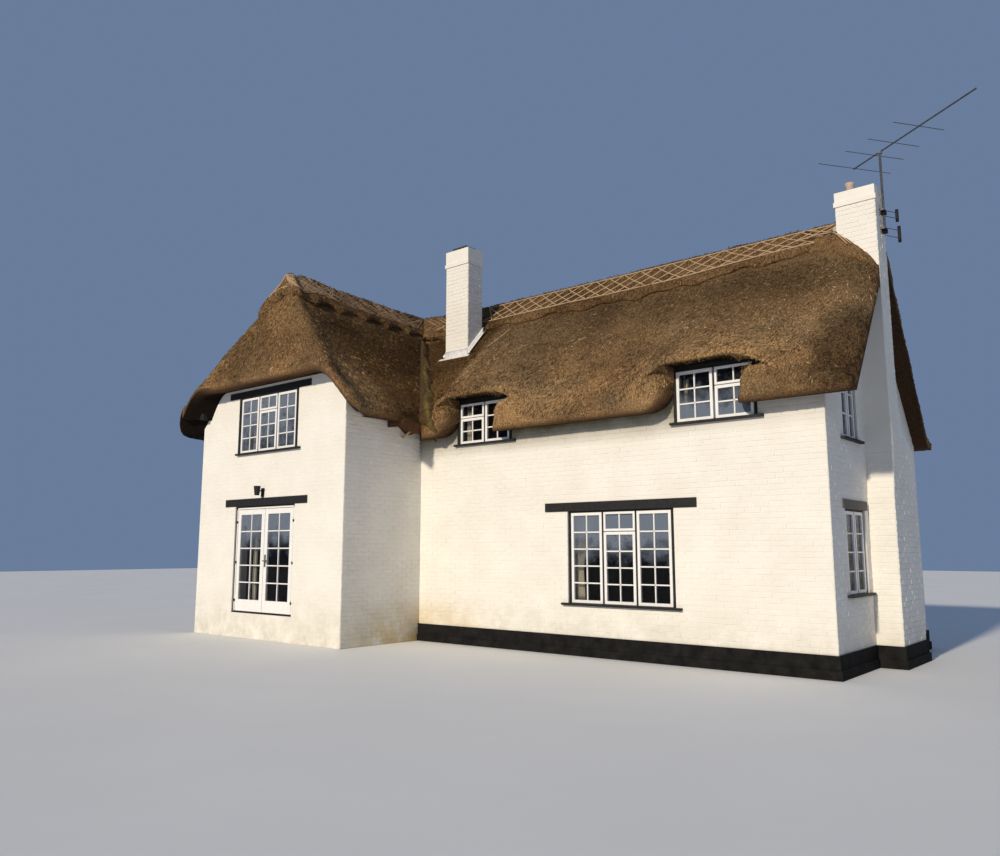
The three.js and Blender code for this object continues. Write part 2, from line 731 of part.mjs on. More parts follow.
function panelSpans(span, panels) {
  const clear = span[1] - span[0] - 2 * STILE - (panels - 1) * MULLION;
  const wide = clear / panels;
  return Array.from({ length: panels }, (_, i) => {
    const start = span[0] + STILE + i * (wide + MULLION);
    return [start, start + wide];
  });
}

function frameSolid({ span, z, panels }) {
  const wide = grow(span, SURROUND - SEAM);
  const deep = [FRAME_IN, FRAME_IN + FRAME_DEEP];
  const frame = blockSolid(wide, deep, [z[0] - SILL_THICK + SEAM, z[1] - SEAM]);
  const holes = panelSpans(span, panels).map((panel) => {
    return blockSolid(panel, [0, WALL], [z[0] + STILE, z[1] - SURROUND - STILE]);
  });
  const sillZ = [z[0] - SILL_THICK + SEAM, z[0]];
  const sillIn = blockSolid(wide, [-SILL_OUT, FRAME_IN + FRAME_DEEP], sillZ);
  const sillOut = blockSolid(grow(span, SILL_PAST), [-SILL_OUT, -SEAM], sillZ);
  return join([carve(frame, holes), sillIn, sillOut]);
}

function paneSpan({ span, z }) {
  return [grow(span, -STILE / 2), [z[0] + STILE / 2, z[1] - SURROUND - STILE / 2]];
}

// A window with its glass as a sheet behind the frame
function makeWindow(window, place) {
  const [x, z] = paneSpan(window);
  const back = FRAME_IN + FRAME_DEEP + SEAM;
  const glass = blockSolid(x, [back, back + GLASS], z);
  add(window.name, geometryOf(placed(frameSolid(window), place)), 'white');
  add(window.name.replace('window', 'glass'), geometryOf(placed(glass, place)), 'glass');
}

// A window of the unseen walls, with its glass and frame in one
function makeGlazedWindow(window, place) {
  const [x, z] = paneSpan(window);
  const middle = FRAME_IN + FRAME_DEEP / 2;
  const glass = blockSolid(x, [middle, middle + GLASS], z);
  add(window.name, geometryOf(placed(frameSolid(window).add(glass), place)), 'white');
}

function makeLintels() {
  LINTELS.forEach((lintel) => {
    add(lintel.name, geometryOf(placed(lintelPocket(lintel, 0), lintel.wall)), 'black');
  });
}

// Door: a frame and two glazed leaves that open outward, each on its own side

// Knuckles on a pivot line before the face at y, each with a flap to one side of it. The frame
// carries the lower half of each hinge and the leaf the upper half.
function hingeHalves(pivotX, y, side, upper) {
  const { radius, proud, half, flap, plate, heights } = HINGE;
  return join(heights.flatMap((level) => {
    const z = upper > 0 ? [level + SEAM, level + half] : [level - half, level];
    const knuckle = new THREE.CylinderGeometry(radius, radius, z[1] - z[0], 12).rotateX(Math.PI / 2);
    const across = [pivotX, pivotX + side * flap].sort((a, b) => a - b);
    return [
      solid(knuckle.translate(pivotX, y - proud, (z[0] + z[1]) / 2)),
      blockSolid(across, [y - plate, y + 1], z),
    ];
  }));
}

function makeDoor() {
  const y = WING_Y + FRAME_IN;
  const wide = [DOOR.x0 - SURROUND + SEAM, DOOR.x1 + SURROUND - SEAM];
  const high = [FLOOR_TOP + SEAM, DOOR.z1 - SEAM];
  const clearX = grow(wide, -DOOR_FRAME);
  const clearZ = [high[0] + DOOR_FRAME / 2, high[1] - DOOR_FRAME];
  const ring = blockSolid(wide, [y, y + FRAME_DEEP], high)
    .subtract(blockSolid(clearX, [y - 1, y + WALL], clearZ));
  const pivots = { left: clearX[0] + DOOR_GAP / 2, right: clearX[1] - DOOR_GAP / 2 };
  const fixed = [hingeHalves(pivots.left, y, -1, -1), hingeHalves(pivots.right, y, 1, -1)];
  add('door_frame', geometryOf(join([ring, ...fixed])), 'white');
  const middle = (clearX[0] + clearX[1]) / 2;
  const leafZ = grow(clearZ, -DOOR_GAP);
  const leafY = [y, y + LEAF_THICK];
  const leaves = {
    left: [clearX[0] + DOOR_GAP, middle - LEAF_MEETING / 2],
    right: [middle + LEAF_MEETING / 2, clearX[1] - DOOR_GAP],
  };
  Object.entries(leaves).forEach(([side, x]) => {
    const paneX = grow(x, -LEAF_STILE);
    const paneZ = [leafZ[0] + LEAF_RAIL, leafZ[1] - LEAF_STILE];
    const hole = blockSolid(paneX, grow(leafY, 1), paneZ);
    const hinges = hingeHalves(pivots[side], y, side === 'left' ? 1 : -1, 1);
    add(`${side}_door_leaf`, geometryOf(blockSolid(x, leafY, leafZ).subtract(hole).add(hinges)), 'white');
    const paneY = (leafY[0] + leafY[1] - GLASS) / 2;
    const glass = blockSolid(grow(paneX, -SEAM), [paneY, paneY + GLASS], grow(paneZ, -SEAM));
    add(`${side}_door_glass`, geometryOf(glass), 'glass');
  });
  add('door_handle', geometryOf(handleSolid(leaves.right[0] + LEAF_STILE / 2, y - SEAM)), 'metal');
}

function handleSolid(x, y) {
  const { z, plateHalf, plateTall, plate, stem, out, lever } = HANDLE;
  const back = blockSolid(grow([x, x], plateHalf), [y - plate, y], grow([z, z], plateTall));
  const neck = blockSolid(grow([x, x], stem), [y - out, y - plate / 2], grow([z, z], stem));
  const grip = blockSolid([x - stem, x + lever], [y - out - stem, y - out + stem], grow([z, z], stem));
  return join([back, neck, grip]);
}

// Small fittings

function rodBetween(from, to, radius) {
  const a = new THREE.Vector3(...from);
  const b = new THREE.Vector3(...to);
  const rod = new THREE.CylinderGeometry(radius, radius, a.distanceTo(b), 6);
  const turn = new THREE.Quaternion();
  turn.setFromUnitVectors(new THREE.Vector3(0, 1, 0), b.clone().sub(a).normalize());
  rod.applyQuaternion(turn).translate(...a.add(b).multiplyScalar(0.5).toArray());
  return solid(rod);
}

function mast() {
  const { x, y, z, radius } = MAST;
  const pole = rodBetween([x, y, z[0]], [x, y, z[1] - BOOM.radius - BOOM.clamp - SEAM], radius);
  const face = BREAST.stackOut + SEAM;
  const brackets = DIPOLES.map((dipole) => {
    const level = dipole.z + BRACKET.above;
    return blockSolid([face, x], grow([y, y], BRACKET.half), grow([level, level], BRACKET.thick));
  });
  const arms = DIPOLES.flatMap(({ z: level, reach, half }) => {
    const end = [x + reach * DIPOLE_LEAN, y + reach];
    const arm = (height) => rodBetween([x, y, height], [...end, height], ELEMENT_RADIUS);
    const bar = rodBetween([...end, level - half], [...end, level + half], DIPOLE_RADIUS);
    return [arm(level - half / 2), arm(level + half / 2), bar];
  });
  return join([pole, ...brackets, ...arms]);
}

function boomArray() {
  const { front, back, z, radius } = BOOM;
  const along = new THREE.Vector2(front[0] - back[0], front[1] - back[1]);
  const across = new THREE.Vector2(-along.y, along.x).normalize();
  const boom = rodBetween([...back, z], [...front, z], radius);
  const elements = ELEMENTS.map(({ along: t, half }) => {
    const [x, y] = [back[0] + along.x * t, back[1] + along.y * t];
    const end = (sign) => [x + sign * half * across.x, y + sign * half * across.y, z];
    return rodBetween(end(-1), end(1), ELEMENT_RADIUS);
  });
  const clampY = back[1] + (along.y / along.x) * (MAST.x - back[0]);
  const clampX = grow([MAST.x, MAST.x], BOOM_CLAMP_HALF);
  const clamp = blockSolid(clampX, grow([clampY, clampY], BOOM_CLAMP_HALF), [z - radius - BOOM.clamp, z]);
  return join([boom, ...elements, clamp]);
}

function lantern() {
  const { x, z, reach, top, foot, tall } = LANTERN;
  const face = WING_Y - SEAM;
  const { half, thick } = LANTERN_PLATE;
  const plate = blockSolid(grow([x, x], half), [face - thick, face], LANTERN_PLATE.z);
  const armWide = grow([x, x], LANTERN_ARM);
  const arm = blockSolid(armWide, [face - reach, face - thick / 2], grow([z, z], LANTERN_ARM));
  const body = new THREE.CylinderGeometry(top, foot, tall, 6).rotateX(Math.PI / 2);
  return join([plate, arm, solid(body.translate(x, face - reach, z))]);
}

// Joins the rooms under both ranges, below the eaves, along the upright plane where they meet
function meetingWeb() {
  const high = BACK_EAVE + SHELTER_DEEP;
  const web = new THREE.BoxGeometry(2 * RANGE_WIDTH, 4 * SEAM, high).rotateZ(-Math.PI / 4);
  return solid(web.translate(RIDGE_X, RIDGE_Y, high / 2 - SHELTER_DEEP));
}

// Makes the thatch and gives back the room beneath it, which the walls fill
function makeRoof() {
  const main = mainStations();
  const wing = wingStations();
  const holes = [gableShaftHole, valleyShaftHole];
  add('main_thatch', geometryOf(carve(solid(loft(main.map(thatchSection))), holes)), 'thatch');
  add('main_ridge', geometryOf(carve(solid(loft(main.map(ridgeSection))), holes)), 'ridge');
  const aside = [-SEAM, -SEAM, 0];
  add('wing_thatch', loft(wing.map(thatchSection), [true, false]), 'thatch').position.set(...aside);
  add('wing_ridge', loft(wing.map(ridgeSection), [true, false]), 'ridge').position.set(...aside);
  const room = solid(loft(main.map(shelterSection)));
  const wingRoom = solid(loft(wing.map(shelterSection), [true, false])).translate(aside);
  return join([room, wingRoom, meetingWeb()]);
}

makeWalls(makeRoof());
add('ground_floor', geometryOf(floorSolid([0, FLOOR_TOP])), 'floor');
add('door_footing', doorFooting(), 'brick');
const upperFloor = floorSolid([UPPER_FLOOR_BOTTOM, UPPER_FLOOR_TOP]);
add('upper_floor', geometryOf(upperFloor.subtract(valleyShaftHole)), 'floor');
add('plinth', geometryOf(plinth()), 'black');
add('gable_chimney', geometryOf(gableChimney()), 'brick');
add('valley_chimney', geometryOf(valleyChimney()), 'brick');
add('valley_flashing', geometryOf(flashing()), 'lead');
add('valley_cowl', geometryOf(cowl()), 'metal');
add('gable_pot', pot(), 'pot');
FRONT_WINDOWS.forEach((window) => makeWindow(window, 'main'));
WING_WINDOWS.forEach((window) => makeWindow(window, 'wing'));
GABLE_WINDOWS.forEach((window) => makeWindow(window, 'gable'));
BACK_WINDOWS.forEach((window) => makeGlazedWindow(window, 'back'));
LEFT_WINDOWS.forEach((window) => makeGlazedWindow(window, 'left'));
makeLintels();
makeDoor();
add('aerial_mast', geometryOf(mast()), 'metal');
add('aerial_array', geometryOf(boomArray()), 'metal');
add('wall_lantern', geometryOf(lantern()), 'black');

// The origin is the middle of the foot of the whole outline
const reach = new THREE.Box3().setFromObject(house, true);
house.position.set(-(reach.min.x + reach.max.x) / 2, -(reach.min.y + reach.max.y) / 2, 0);

export default house;
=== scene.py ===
# Looks for the thatched cottage: reed thatch with its ridges, painted brick, casements and fittings.
# Metres. House points are measured from the foot of the main range's front right corner, and the
# function at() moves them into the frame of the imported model.
import itertools
import json
import math

import bpy
import numpy as np
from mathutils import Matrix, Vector


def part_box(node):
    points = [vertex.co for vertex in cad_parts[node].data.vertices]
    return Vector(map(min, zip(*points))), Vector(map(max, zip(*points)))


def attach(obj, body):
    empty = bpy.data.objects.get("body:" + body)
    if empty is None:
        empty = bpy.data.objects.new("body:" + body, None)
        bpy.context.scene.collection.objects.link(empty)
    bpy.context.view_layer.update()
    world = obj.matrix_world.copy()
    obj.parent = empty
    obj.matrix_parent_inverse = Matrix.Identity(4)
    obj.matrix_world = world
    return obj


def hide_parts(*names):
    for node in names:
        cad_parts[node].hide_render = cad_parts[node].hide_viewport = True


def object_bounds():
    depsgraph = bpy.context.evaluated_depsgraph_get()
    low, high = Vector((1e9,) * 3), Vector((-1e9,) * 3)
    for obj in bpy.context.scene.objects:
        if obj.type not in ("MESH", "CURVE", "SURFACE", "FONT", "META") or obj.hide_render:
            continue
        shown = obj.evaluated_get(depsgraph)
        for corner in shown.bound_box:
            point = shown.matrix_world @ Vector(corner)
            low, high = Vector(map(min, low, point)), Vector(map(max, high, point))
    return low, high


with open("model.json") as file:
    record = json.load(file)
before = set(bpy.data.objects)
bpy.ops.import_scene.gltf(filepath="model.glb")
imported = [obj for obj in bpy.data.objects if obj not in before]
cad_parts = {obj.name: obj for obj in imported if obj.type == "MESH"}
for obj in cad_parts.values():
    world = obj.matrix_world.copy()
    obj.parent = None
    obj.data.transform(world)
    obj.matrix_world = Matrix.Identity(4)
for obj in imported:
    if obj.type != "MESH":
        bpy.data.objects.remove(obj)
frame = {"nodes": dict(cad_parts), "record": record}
cad_low, cad_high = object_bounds()
NODES = frame["nodes"]

ORIGIN = np.array([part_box("main_front_wall")[1].x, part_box("main_front_wall")[0].y, 0.0])


def at(points):
    return np.asarray(points, float) + ORIGIN


# Plan and levels

RANGE_WIDTH = 4.42
INNER_X = -7.384
LEFT_X = INNER_X - RANGE_WIDTH
WING_Y = -1.812
BACK_Y = RANGE_WIDTH
RIDGE_Y = RANGE_WIDTH / 2
RIDGE_X = INNER_X - RANGE_WIDTH / 2
FLOOR_TOP = 0.45
STACK = {"x": (-0.23, 0.34), "y": (1.72, 2.17), "z": 6.79, "top": 7.02}
VALLEY_STACK = {"x": (-7.87, -7.27), "y": (1.15, 1.58), "z": 7.36, "top": 7.7}

# Thatch

EAVE_OUT = 0.36
HIP_OUT = 0.388
VERGE_FRONT, VERGE_BACK = 0.43, 0.2
MAIN_RIDGE = 6.61
WING_RIDGE_FRONT, WING_RIDGE_BACK = 6.8, 6.7
THATCH_DEPTH = 0.59
MAIN_EAVE, BACK_EAVE, WING_EAVE, HIP_EAVE = 3.59, 3.3, 3.87, 4.67
HIP_CORNER_RIGHT, HIP_CORNER_LEFT = 4.05, 3.92
LEFT_FLARE, LEFT_FLARE_RUN = 0.12, 3.0
HIP_RUN, EAVE_SWEEP = 0.8, 0.6
APEX_Y, INNER_APEX_Y = -1.45, -0.95
NOSE, SOFFIT_RISE = 0.24, 0.03
CORNER_ROUND = {1: 0.42, -1: 0.23}
ROLL, ROLL_DROP = 0.55, 0.5
ROLL_FOOT, ROLL_UNTIL = 0.3, 0.12
# middle of each brow, and how far its notch reaches to the left and to the right
BROWS = ((-5.865, 0.55, 0.378), (-1.583, 0.553, 0.47))
BROW_LIFT, BROW_FLAT, BROW_SPILL, BROW_FADE = 0.55, 0.45, 1.2, 2
BROW_UNDER_LIFT, BROW_UNDER_SIDE = 0.64, 0.05
LOBE_ROUND, NOTCH_STEP, LIP, CREASE_DEEP, CREASE_PAST = 0.17, 0.012, 0.12, 0.36, 0.36
# a lobe's ends are rounded by ellipses, each a width and a height, first beside the notch on its right
LOBE_FOOT, LOBE_TOP, LOBE_FAR_FOOT, LOBE_FAR_TOP = (0.42, 0.30), (0.36, 0.22), (0.13, 0.07), (0.2, 0.06)
# how far the lobe right of a notch leans away from it, by share of its height
LOBE_LEAN = (0, 0.3, 0.6, 0.76, 0.85, 1), (0, 0.05, 0.08, 0.14, 0.25, 0.34)
LEAN_REACH = 1.2
HIP_SOFT = 0.5
HALF_WIDTH = RANGE_WIDTH / 2
HALF_SPREAD = HALF_WIDTH + EAVE_OUT
HIP_Y = WING_Y - HIP_OUT
VALLEY_X = INNER_X + EAVE_OUT
HIP_X = LEFT_X - EAVE_OUT


def between(a, b, t):
    return a + (b - a) * t


def smooth(t):
    c = np.clip(t, 0, 1)
    return c * c * (3 - 2 * c)


# Noise with a fixed seed, on points in metres

LATTICE = np.random.default_rng(7).random(4096)
LATTICE_STRIDES = 73856093, 19349663, 83492791
CORNERS = list(itertools.product((0, 1), repeat=3))


def noise(points, size):
    """Smooth noise from -1 to 1 whose bumps are about size metres wide."""
    p = np.asarray(points, float) / size
    cell = np.floor(p).astype(np.int64)
    f = smooth(p - cell)
    total = np.zeros(len(p))
    for corner in CORNERS:
        key = np.bitwise_xor.reduce((cell + corner) * LATTICE_STRIDES, axis=1)
        total += np.where(corner, f, 1 - f).prod(axis=1) * LATTICE[key % len(LATTICE)]
    return total * 2 - 1


# Meshes


def make(name, points, faces, material, slot=None, replaces=(), body="house", shaded=True, uv=None,
         values=None):
    """A piece from house points and faces, with UV and named values for each point."""
    mesh = bpy.data.meshes.new(name)
    mesh.from_pydata([tuple(p) for p in at(points)], [], [tuple(int(i) for i in f) for f in faces])
    mesh.validate()
    if uv is not None:
        layer = mesh.uv_layers.new(name="UVMap")
        index = np.zeros(len(mesh.loops), np.int32)
        mesh.loops.foreach_get("vertex_index", index)
        layer.data.foreach_set("uv", np.asarray(uv, np.float32)[index].ravel())
    for key, value in (values or {}).items():
        mesh.attributes.new(key, "FLOAT", "POINT").data.foreach_set("value", np.asarray(value, np.float32))
    mesh.polygons.foreach_set("use_smooth", [shaded] * len(mesh.polygons))
    mesh.materials.append(material)
    mesh.update()
    piece = bpy.data.objects.new(name, mesh)
    bpy.context.scene.collection.objects.link(piece)
    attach(piece, body)
    if replaces:
        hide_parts(*replaces)
    return piece


def corner_of(axis, side, u, v):
    """A box corner as 0 or 1 along x, y and z, from its side along one axis and along the two others."""
    corner = [u, v]
    corner.insert(axis, side)
    return tuple(corner)


def box_mesh(boxes, bevel=0.0):
    """Points and faces of several boxes, each ((x0, x1), (y0, y1), (z0, z1)), with cut edges."""
    points, faces = [], []
    for box in boxes:
        low, high = np.array(box, float).T
        cut = min(bevel, (high - low).min() / 2.5)
        index = {}
        for corner in CORNERS:
            place, inward = np.where(corner, high, low), np.where(corner, -cut, cut)
            for axis in range(3):
                index[corner, axis] = len(points)
                points.append(place + inward * (np.arange(3) != axis))
        for axis, side in itertools.product(range(3), (0, 1)):
            loop = [index[corner_of(axis, side, u, v), axis] for u, v in ((0, 0), (1, 0), (1, 1), (0, 1))]
            faces.append(loop[::-1] if (side == 0) == (axis != 1) else loop)
        if cut > 0:
            for axis, u, v in itertools.product(range(3), (0, 1), (0, 1)):
                others = [k for k in range(3) if k != axis]
                (p, q), (r, s) = ([index[corner_of(axis, side, u, v), k] for k in others] for side in (0, 1))
                faces.append([r, s, q, p] if (u == v) == (axis != 1) else [p, q, s, r])
            for corner in CORNERS:
                loop = [index[corner, k] for k in range(3)]
                faces.append(loop if sum(corner) % 2 else loop[::-1])
    return np.array(points), faces


def lengths_along(line):
    """The distance of each point of a line from its start."""
    return np.concatenate([[0], np.cumsum(np.linalg.norm(np.diff(line, axis=0), axis=1))])


def straight(start, end, steps):
    return between(np.array(start), np.array(end), np.linspace(0, 1, steps)[:, None])


def tube_faces(index):
    """Quads round a tube, from the numbers of the points in each of its rings."""
    after = np.roll(index, -1, axis=1)
    return np.stack([index[:-1], after[:-1], after[1:], index[1:]], axis=-1).reshape(-1, 4).tolist()


def rod_mesh(path, radius, sides):
    """A closed rod along house points."""
    tangents = np.gradient(path, axis=0)
    tangents /= np.linalg.norm(tangents, axis=1)[:, None]
    up = np.array([0.0, 0.0, 1.0])
    if abs(tangents[0] @ up) > 0.9:
        up = np.array([0.0, 1.0, 0.0])
    side = np.cross(tangents, up)
    side /= np.linalg.norm(side, axis=1)[:, None]
    normal = np.cross(side, tangents)
    angles = np.linspace(0, 2 * math.pi, sides, endpoint=False)
    ring = np.cos(angles)[None, :, None] * side[:, None] + np.sin(angles)[None, :, None] * normal[:, None]
    points = (path[:, None] + radius * ring).reshape(-1, 3)
    index = np.arange(len(points)).reshape(-1, sides)
    return points, [*tube_faces(index), index[0, ::-1], index[-1]]


def slab_mesh(grid, down):
    """A closed sheet from a grid of points, whose other side lies down from it."""
    rows, columns, _ = grid.shape
    half = rows * columns
    points = np.concatenate([grid.reshape(-1, 3), (grid + down).reshape(-1, 3)])
    index = np.arange(half).reshape(rows, columns)
    quads = np.stack([index[:-1, :-1], index[:-1, 1:], index[1:, 1:], index[1:, :-1]], axis=-1).reshape(-1, 4)
    rim = np.concatenate([index[0], index[1:, -1], index[-1, -2::-1], index[-2:0:-1, 0]])
    after = np.roll(rim, -1)
    side = np.column_stack([after, rim, rim + half, after + half])
    return points, np.concatenate([quads, quads[:, ::-1] + half, side]).tolist()


PLACES = {
    "main": ((0.0, 0.0), 0),
    "wing": ((0.0, WING_Y), 0),
    "gable": ((0.0, 0.0), 90),
    "back": ((0.0, BACK_Y), 180),
    "left": ((LEFT_X, 0.0), -90),
}


def turned(mesh, corner, turn):
    """A mesh in wall coordinates stood at a corner, facing away from the wall as turned."""
    c, s = math.cos(math.radians(turn)), math.sin(math.radians(turn))
    x, y, z = np.asarray(mesh[0], float).T
    return np.column_stack([x * c - y * s + corner[0], x * s + y * c + corner[1], z]), mesh[1]


def placed(mesh, wall):
    """A mesh in wall coordinates stood on a wall of the house."""
    return turned(mesh, *PLACES[wall])


def widened(span, by):
    """A span that reaches further at both ends, or less far."""
    return span[0] - by, span[1] + by


def gather(meshes):
    """Several meshes as one."""
    points, faces, base = [], [], 0
    for p, f in meshes:
        points.append(np.asarray(p, float))
        faces += [tuple(i + base for i in face) for face in f]
        base += len(p)
    return np.concatenate(points), faces


# Materials


class Nodes:
    """A material under way, with short words for the shader nodes used here."""

    def __init__(self, name, roughness=0.8, metallic=0.0, shine=0.5):
        self.material = bpy.data.materials.new(name)
        self.material.use_nodes = True
        self.tree = self.material.node_tree
        self.shader = self.tree.nodes["Principled BSDF"].inputs
        self.shader["Roughness"].default_value = roughness
        self.shader["Metallic"].default_value = metallic
        self.shader["Specular IOR Level"].default_value = shine

    def set(self, socket, value):
        if isinstance(value, bpy.types.NodeSocket):
            self.tree.links.new(value, socket)
        else:
            socket.default_value = value

    def node(self, kind, output, inputs, **values):
        """The output of a new node, whose inputs are values or the outputs of others."""
        node = self.tree.nodes.new(kind)
        for key, value in values.items():
            setattr(node, key, value)
        for key, value in inputs.items():
            self.set(node.inputs[key], value)
        return node.outputs[output]

    def finish(self, color, height=None, distance=0.0, strength=1.0):
        """The material in this colour, with bumps from a height where one is given."""
        self.set(self.shader["Base Color"], color)
        if height is not None:
            inputs = {"Height": height, "Distance": distance, "Strength": strength}
            self.set(self.shader["Normal"], self.node("ShaderNodeBump", "Normal", inputs))
        return self.material

    def coords(self, kind="Object"):
        return self.node("ShaderNodeTexCoord", kind, {})

    def attribute(self, name):
        return self.node("ShaderNodeAttribute", "Fac", {}, attribute_name=name)

    def scaled(self, vector, scale, shift=(0, 0, 0)):
        return self.node("ShaderNodeMapping", "Vector", {"Vector": vector, "Scale": scale, "Location": shift})

    def noise(self, vector, scale, detail=4.0, roughness=0.5):
        inputs = {"Vector": vector, "Scale": scale, "Detail": detail, "Roughness": roughness}
        return self.node("ShaderNodeTexNoise", "Fac", inputs)

    def voronoi(self, vector, scale):
        return self.node("ShaderNodeTexVoronoi", "Distance", {"Vector": vector, "Scale": scale})

    def ramp(self, factor, stops):
        node = self.tree.nodes.new("ShaderNodeValToRGB")
        self.set(node.inputs["Fac"], factor)
        band = node.color_ramp
        while len(band.elements) < len(stops):
            band.elements.new(0.5)
        for element, (place, color) in zip(band.elements, stops):
            element.position = place
            element.color = (*color, 1.0)
        return node.outputs["Color"]

    def range(self, value, low, high, to_low=0.0, to_high=1.0):
        ends = {"From Min": low, "From Max": high, "To Min": to_low, "To Max": to_high}
        return self.node("ShaderNodeMapRange", "Result", {"Value": value, **ends})

    def math(self, operation, a, b=0.0):
        return self.node("ShaderNodeMath", 0, {0: a, 1: b}, operation=operation)

    def sum(self, a, b):
        return self.math("ADD", a, b)

    def product(self, first, *others):
        for other in others:
            first = self.math("MULTIPLY", first, other)
        return first

    def gap(self, a, b):
        return self.math("ABSOLUTE", self.math("SUBTRACT", a, b))

    def inside(self, value, low, high):
        """1 where a value lies between two others, and 0 elsewhere."""
        return self.product(self.math("GREATER_THAN", value, low), self.math("LESS_THAN", value, high))

    def mix(self, factor, a, b, blend="MIX"):
        a, b = (c if isinstance(c, bpy.types.NodeSocket) else (*c, 1.0) for c in (a, b))
        inputs = {"Factor": factor, 6: a, 7: b}
        return self.node("ShaderNodeMix", 2, inputs, data_type="RGBA", blend_type=blend)

    def split(self, vector):
        node = self.tree.nodes.new("ShaderNodeSeparateXYZ")
        self.set(node.inputs[0], vector)
        return node.outputs


# how far the rooms' painted shade begins inside the walls' outer faces, and its top
ROOM_SHADE_INSET, ROOM_SHADE_TOP = 0.3, 5.35
# heights between which the reed turns more golden downwards, the reed darkens upwards, and an olive stain on
# the wall under the eave is partly algae and partly painted shade
GOLDEN_LOW, DARKENED, EAVE_STAIN_AND_SHADE = (5.7, 4.1), (5.0, 6.2), (3.22, 3.62)
# a painted tree shadow low on the main roof's right end: its middle, and its size across and up
PAINTED_SHADOW, PAINTED_SHADOW_SIZE = at((0.3, 0.4, 4.3)), (0.5, 0.7)


def room_shade_mask(n, x, y, z):
    """1 on the inner faces of the walls, where the rooms' shade is painted, and 0 outside."""
    left, front, _ = at((LEFT_X + ROOM_SHADE_INSET, ROOM_SHADE_INSET, 0))
    right, back, _ = at((-ROOM_SHADE_INSET, BACK_Y - ROOM_SHADE_INSET, 0))
    wing_right = at((INNER_X - ROOM_SHADE_INSET, 0, 0))[0]
    main = n.product(n.inside(x, left, right), n.inside(y, front, back))
    wing = n.product(n.inside(x, left, wing_right), n.inside(y, front + WING_Y, back))
    return n.product(n.math("MAXIMUM", main, wing), n.math("LESS_THAN", z, ROOM_SHADE_TOP))


def wall_material(name, light, dull, worn):
    """Old white paint with bare specks, dirt low down, a stain in the inner corner, an olive band under the
    eave that is algae and painted shade, and painted shade on the rooms' inner faces.
    """
    n = Nodes(name, 0.7)
    place = n.coords()
    x, y, z = n.split(place)
    corner_x, corner_y, _ = at((INNER_X, 0, 0))
    paint = n.mix(n.range(n.noise(place, 1.7, 5.0, 0.6), 0.35, 0.7), light, dull)
    specks = n.range(n.noise(place, 8.0, 6.0, 0.75), 0.62, 0.75)
    paint = n.mix(n.product(specks, 0.4), paint, worn)
    foot = n.product(n.range(z, 0.0, 0.9, 1.0, 0.0), n.range(n.noise(place, 3.2, 5.0, 0.7), 0.35, 0.62))
    paint = n.mix(n.product(foot, 0.5), paint, (0.42, 0.38, 0.27))
    near = n.math("MAXIMUM", n.gap(x, corner_x), n.gap(y, corner_y))
    stain = n.product(n.range(near, 0.1, 1.9, 1.0, 0.0), n.range(z, 0.25, 0.75, 1.0, 0.0),
                      n.range(n.noise(place, 2.4, 4.0, 0.6), 0.3, 0.6))
    paint = n.mix(n.product(stain, 0.8), paint, (0.60, 0.40, 0.08))
    # under the main eave: an algae stain darkened further as painted shade from the thatch
    under = n.product(n.range(z, *EAVE_STAIN_AND_SHADE), n.range(x, corner_x + 4.8, corner_x + 6.6, 1.0, 0.4),
                      n.range(n.noise(place, 1.3, 4.0, 0.6), 0.3, 0.6, 0.7, 1.0),
                      n.math("GREATER_THAN", x, corner_x), n.math("LESS_THAN", n.gap(y, corner_y), 0.05))
    paint = n.mix(under, paint, (0.13, 0.105, 0.03))
    # painted shade: the rooms' inner faces near black
    paint = n.mix(room_shade_mask(n, x, y, z), paint, (0.05, 0.045, 0.04))
    strokes = n.noise(n.scaled(place, (12.0, 12.0, 26.0)), 1.0, 4.0, 0.6)
    return n.finish(paint, n.sum(strokes, n.product(n.noise(place, 70.0, 5.0, 0.6), 0.4)), 0.005, 0.7)


def plain_material(name, low, high, roughness, metallic=0.0, scale=18.0, bump=0.0008, shine=0.5):
    """A colour that wavers between two, with a fine bump."""
    n = Nodes(name, roughness, metallic, shine)
    place = n.coords()
    color = n.mix(n.range(n.noise(place, scale, 5.0, 0.6), 0.3, 0.7), low, high)
    return n.finish(color, n.noise(place, scale * 5, 3.0), bump, 0.7)


def glass_material(name, levels=None):
    """Old panes over rooms with painted shade, with a painted reflection that grows with the UV's height or
    with the height between two levels.
    """
    n = Nodes(name, 0.04)
    place = n.coords()
    high = n.range(n.split(place)[2], *levels) if levels else n.split(n.coords("UV"))[1]
    cloud = n.range(n.noise(place, 5.0, 5.0, 0.7), 0.3, 0.7, -0.14, 0.14)
    # painted reflection: the panes paler and less clear towards the top
    painted_reflection = n.range(n.sum(high, cloud), 0.42, 0.72)
    n.set(n.shader["Alpha"], n.range(painted_reflection, 0, 1, 0.15, 0.6))
    n.set(n.shader["IOR"], 1.5)
    color = n.mix(painted_reflection, (0.012, 0.013, 0.015), (0.20, 0.24, 0.31))
    return n.finish(color, n.noise(place, 1.6, 2.0), 0.004, 0.5)


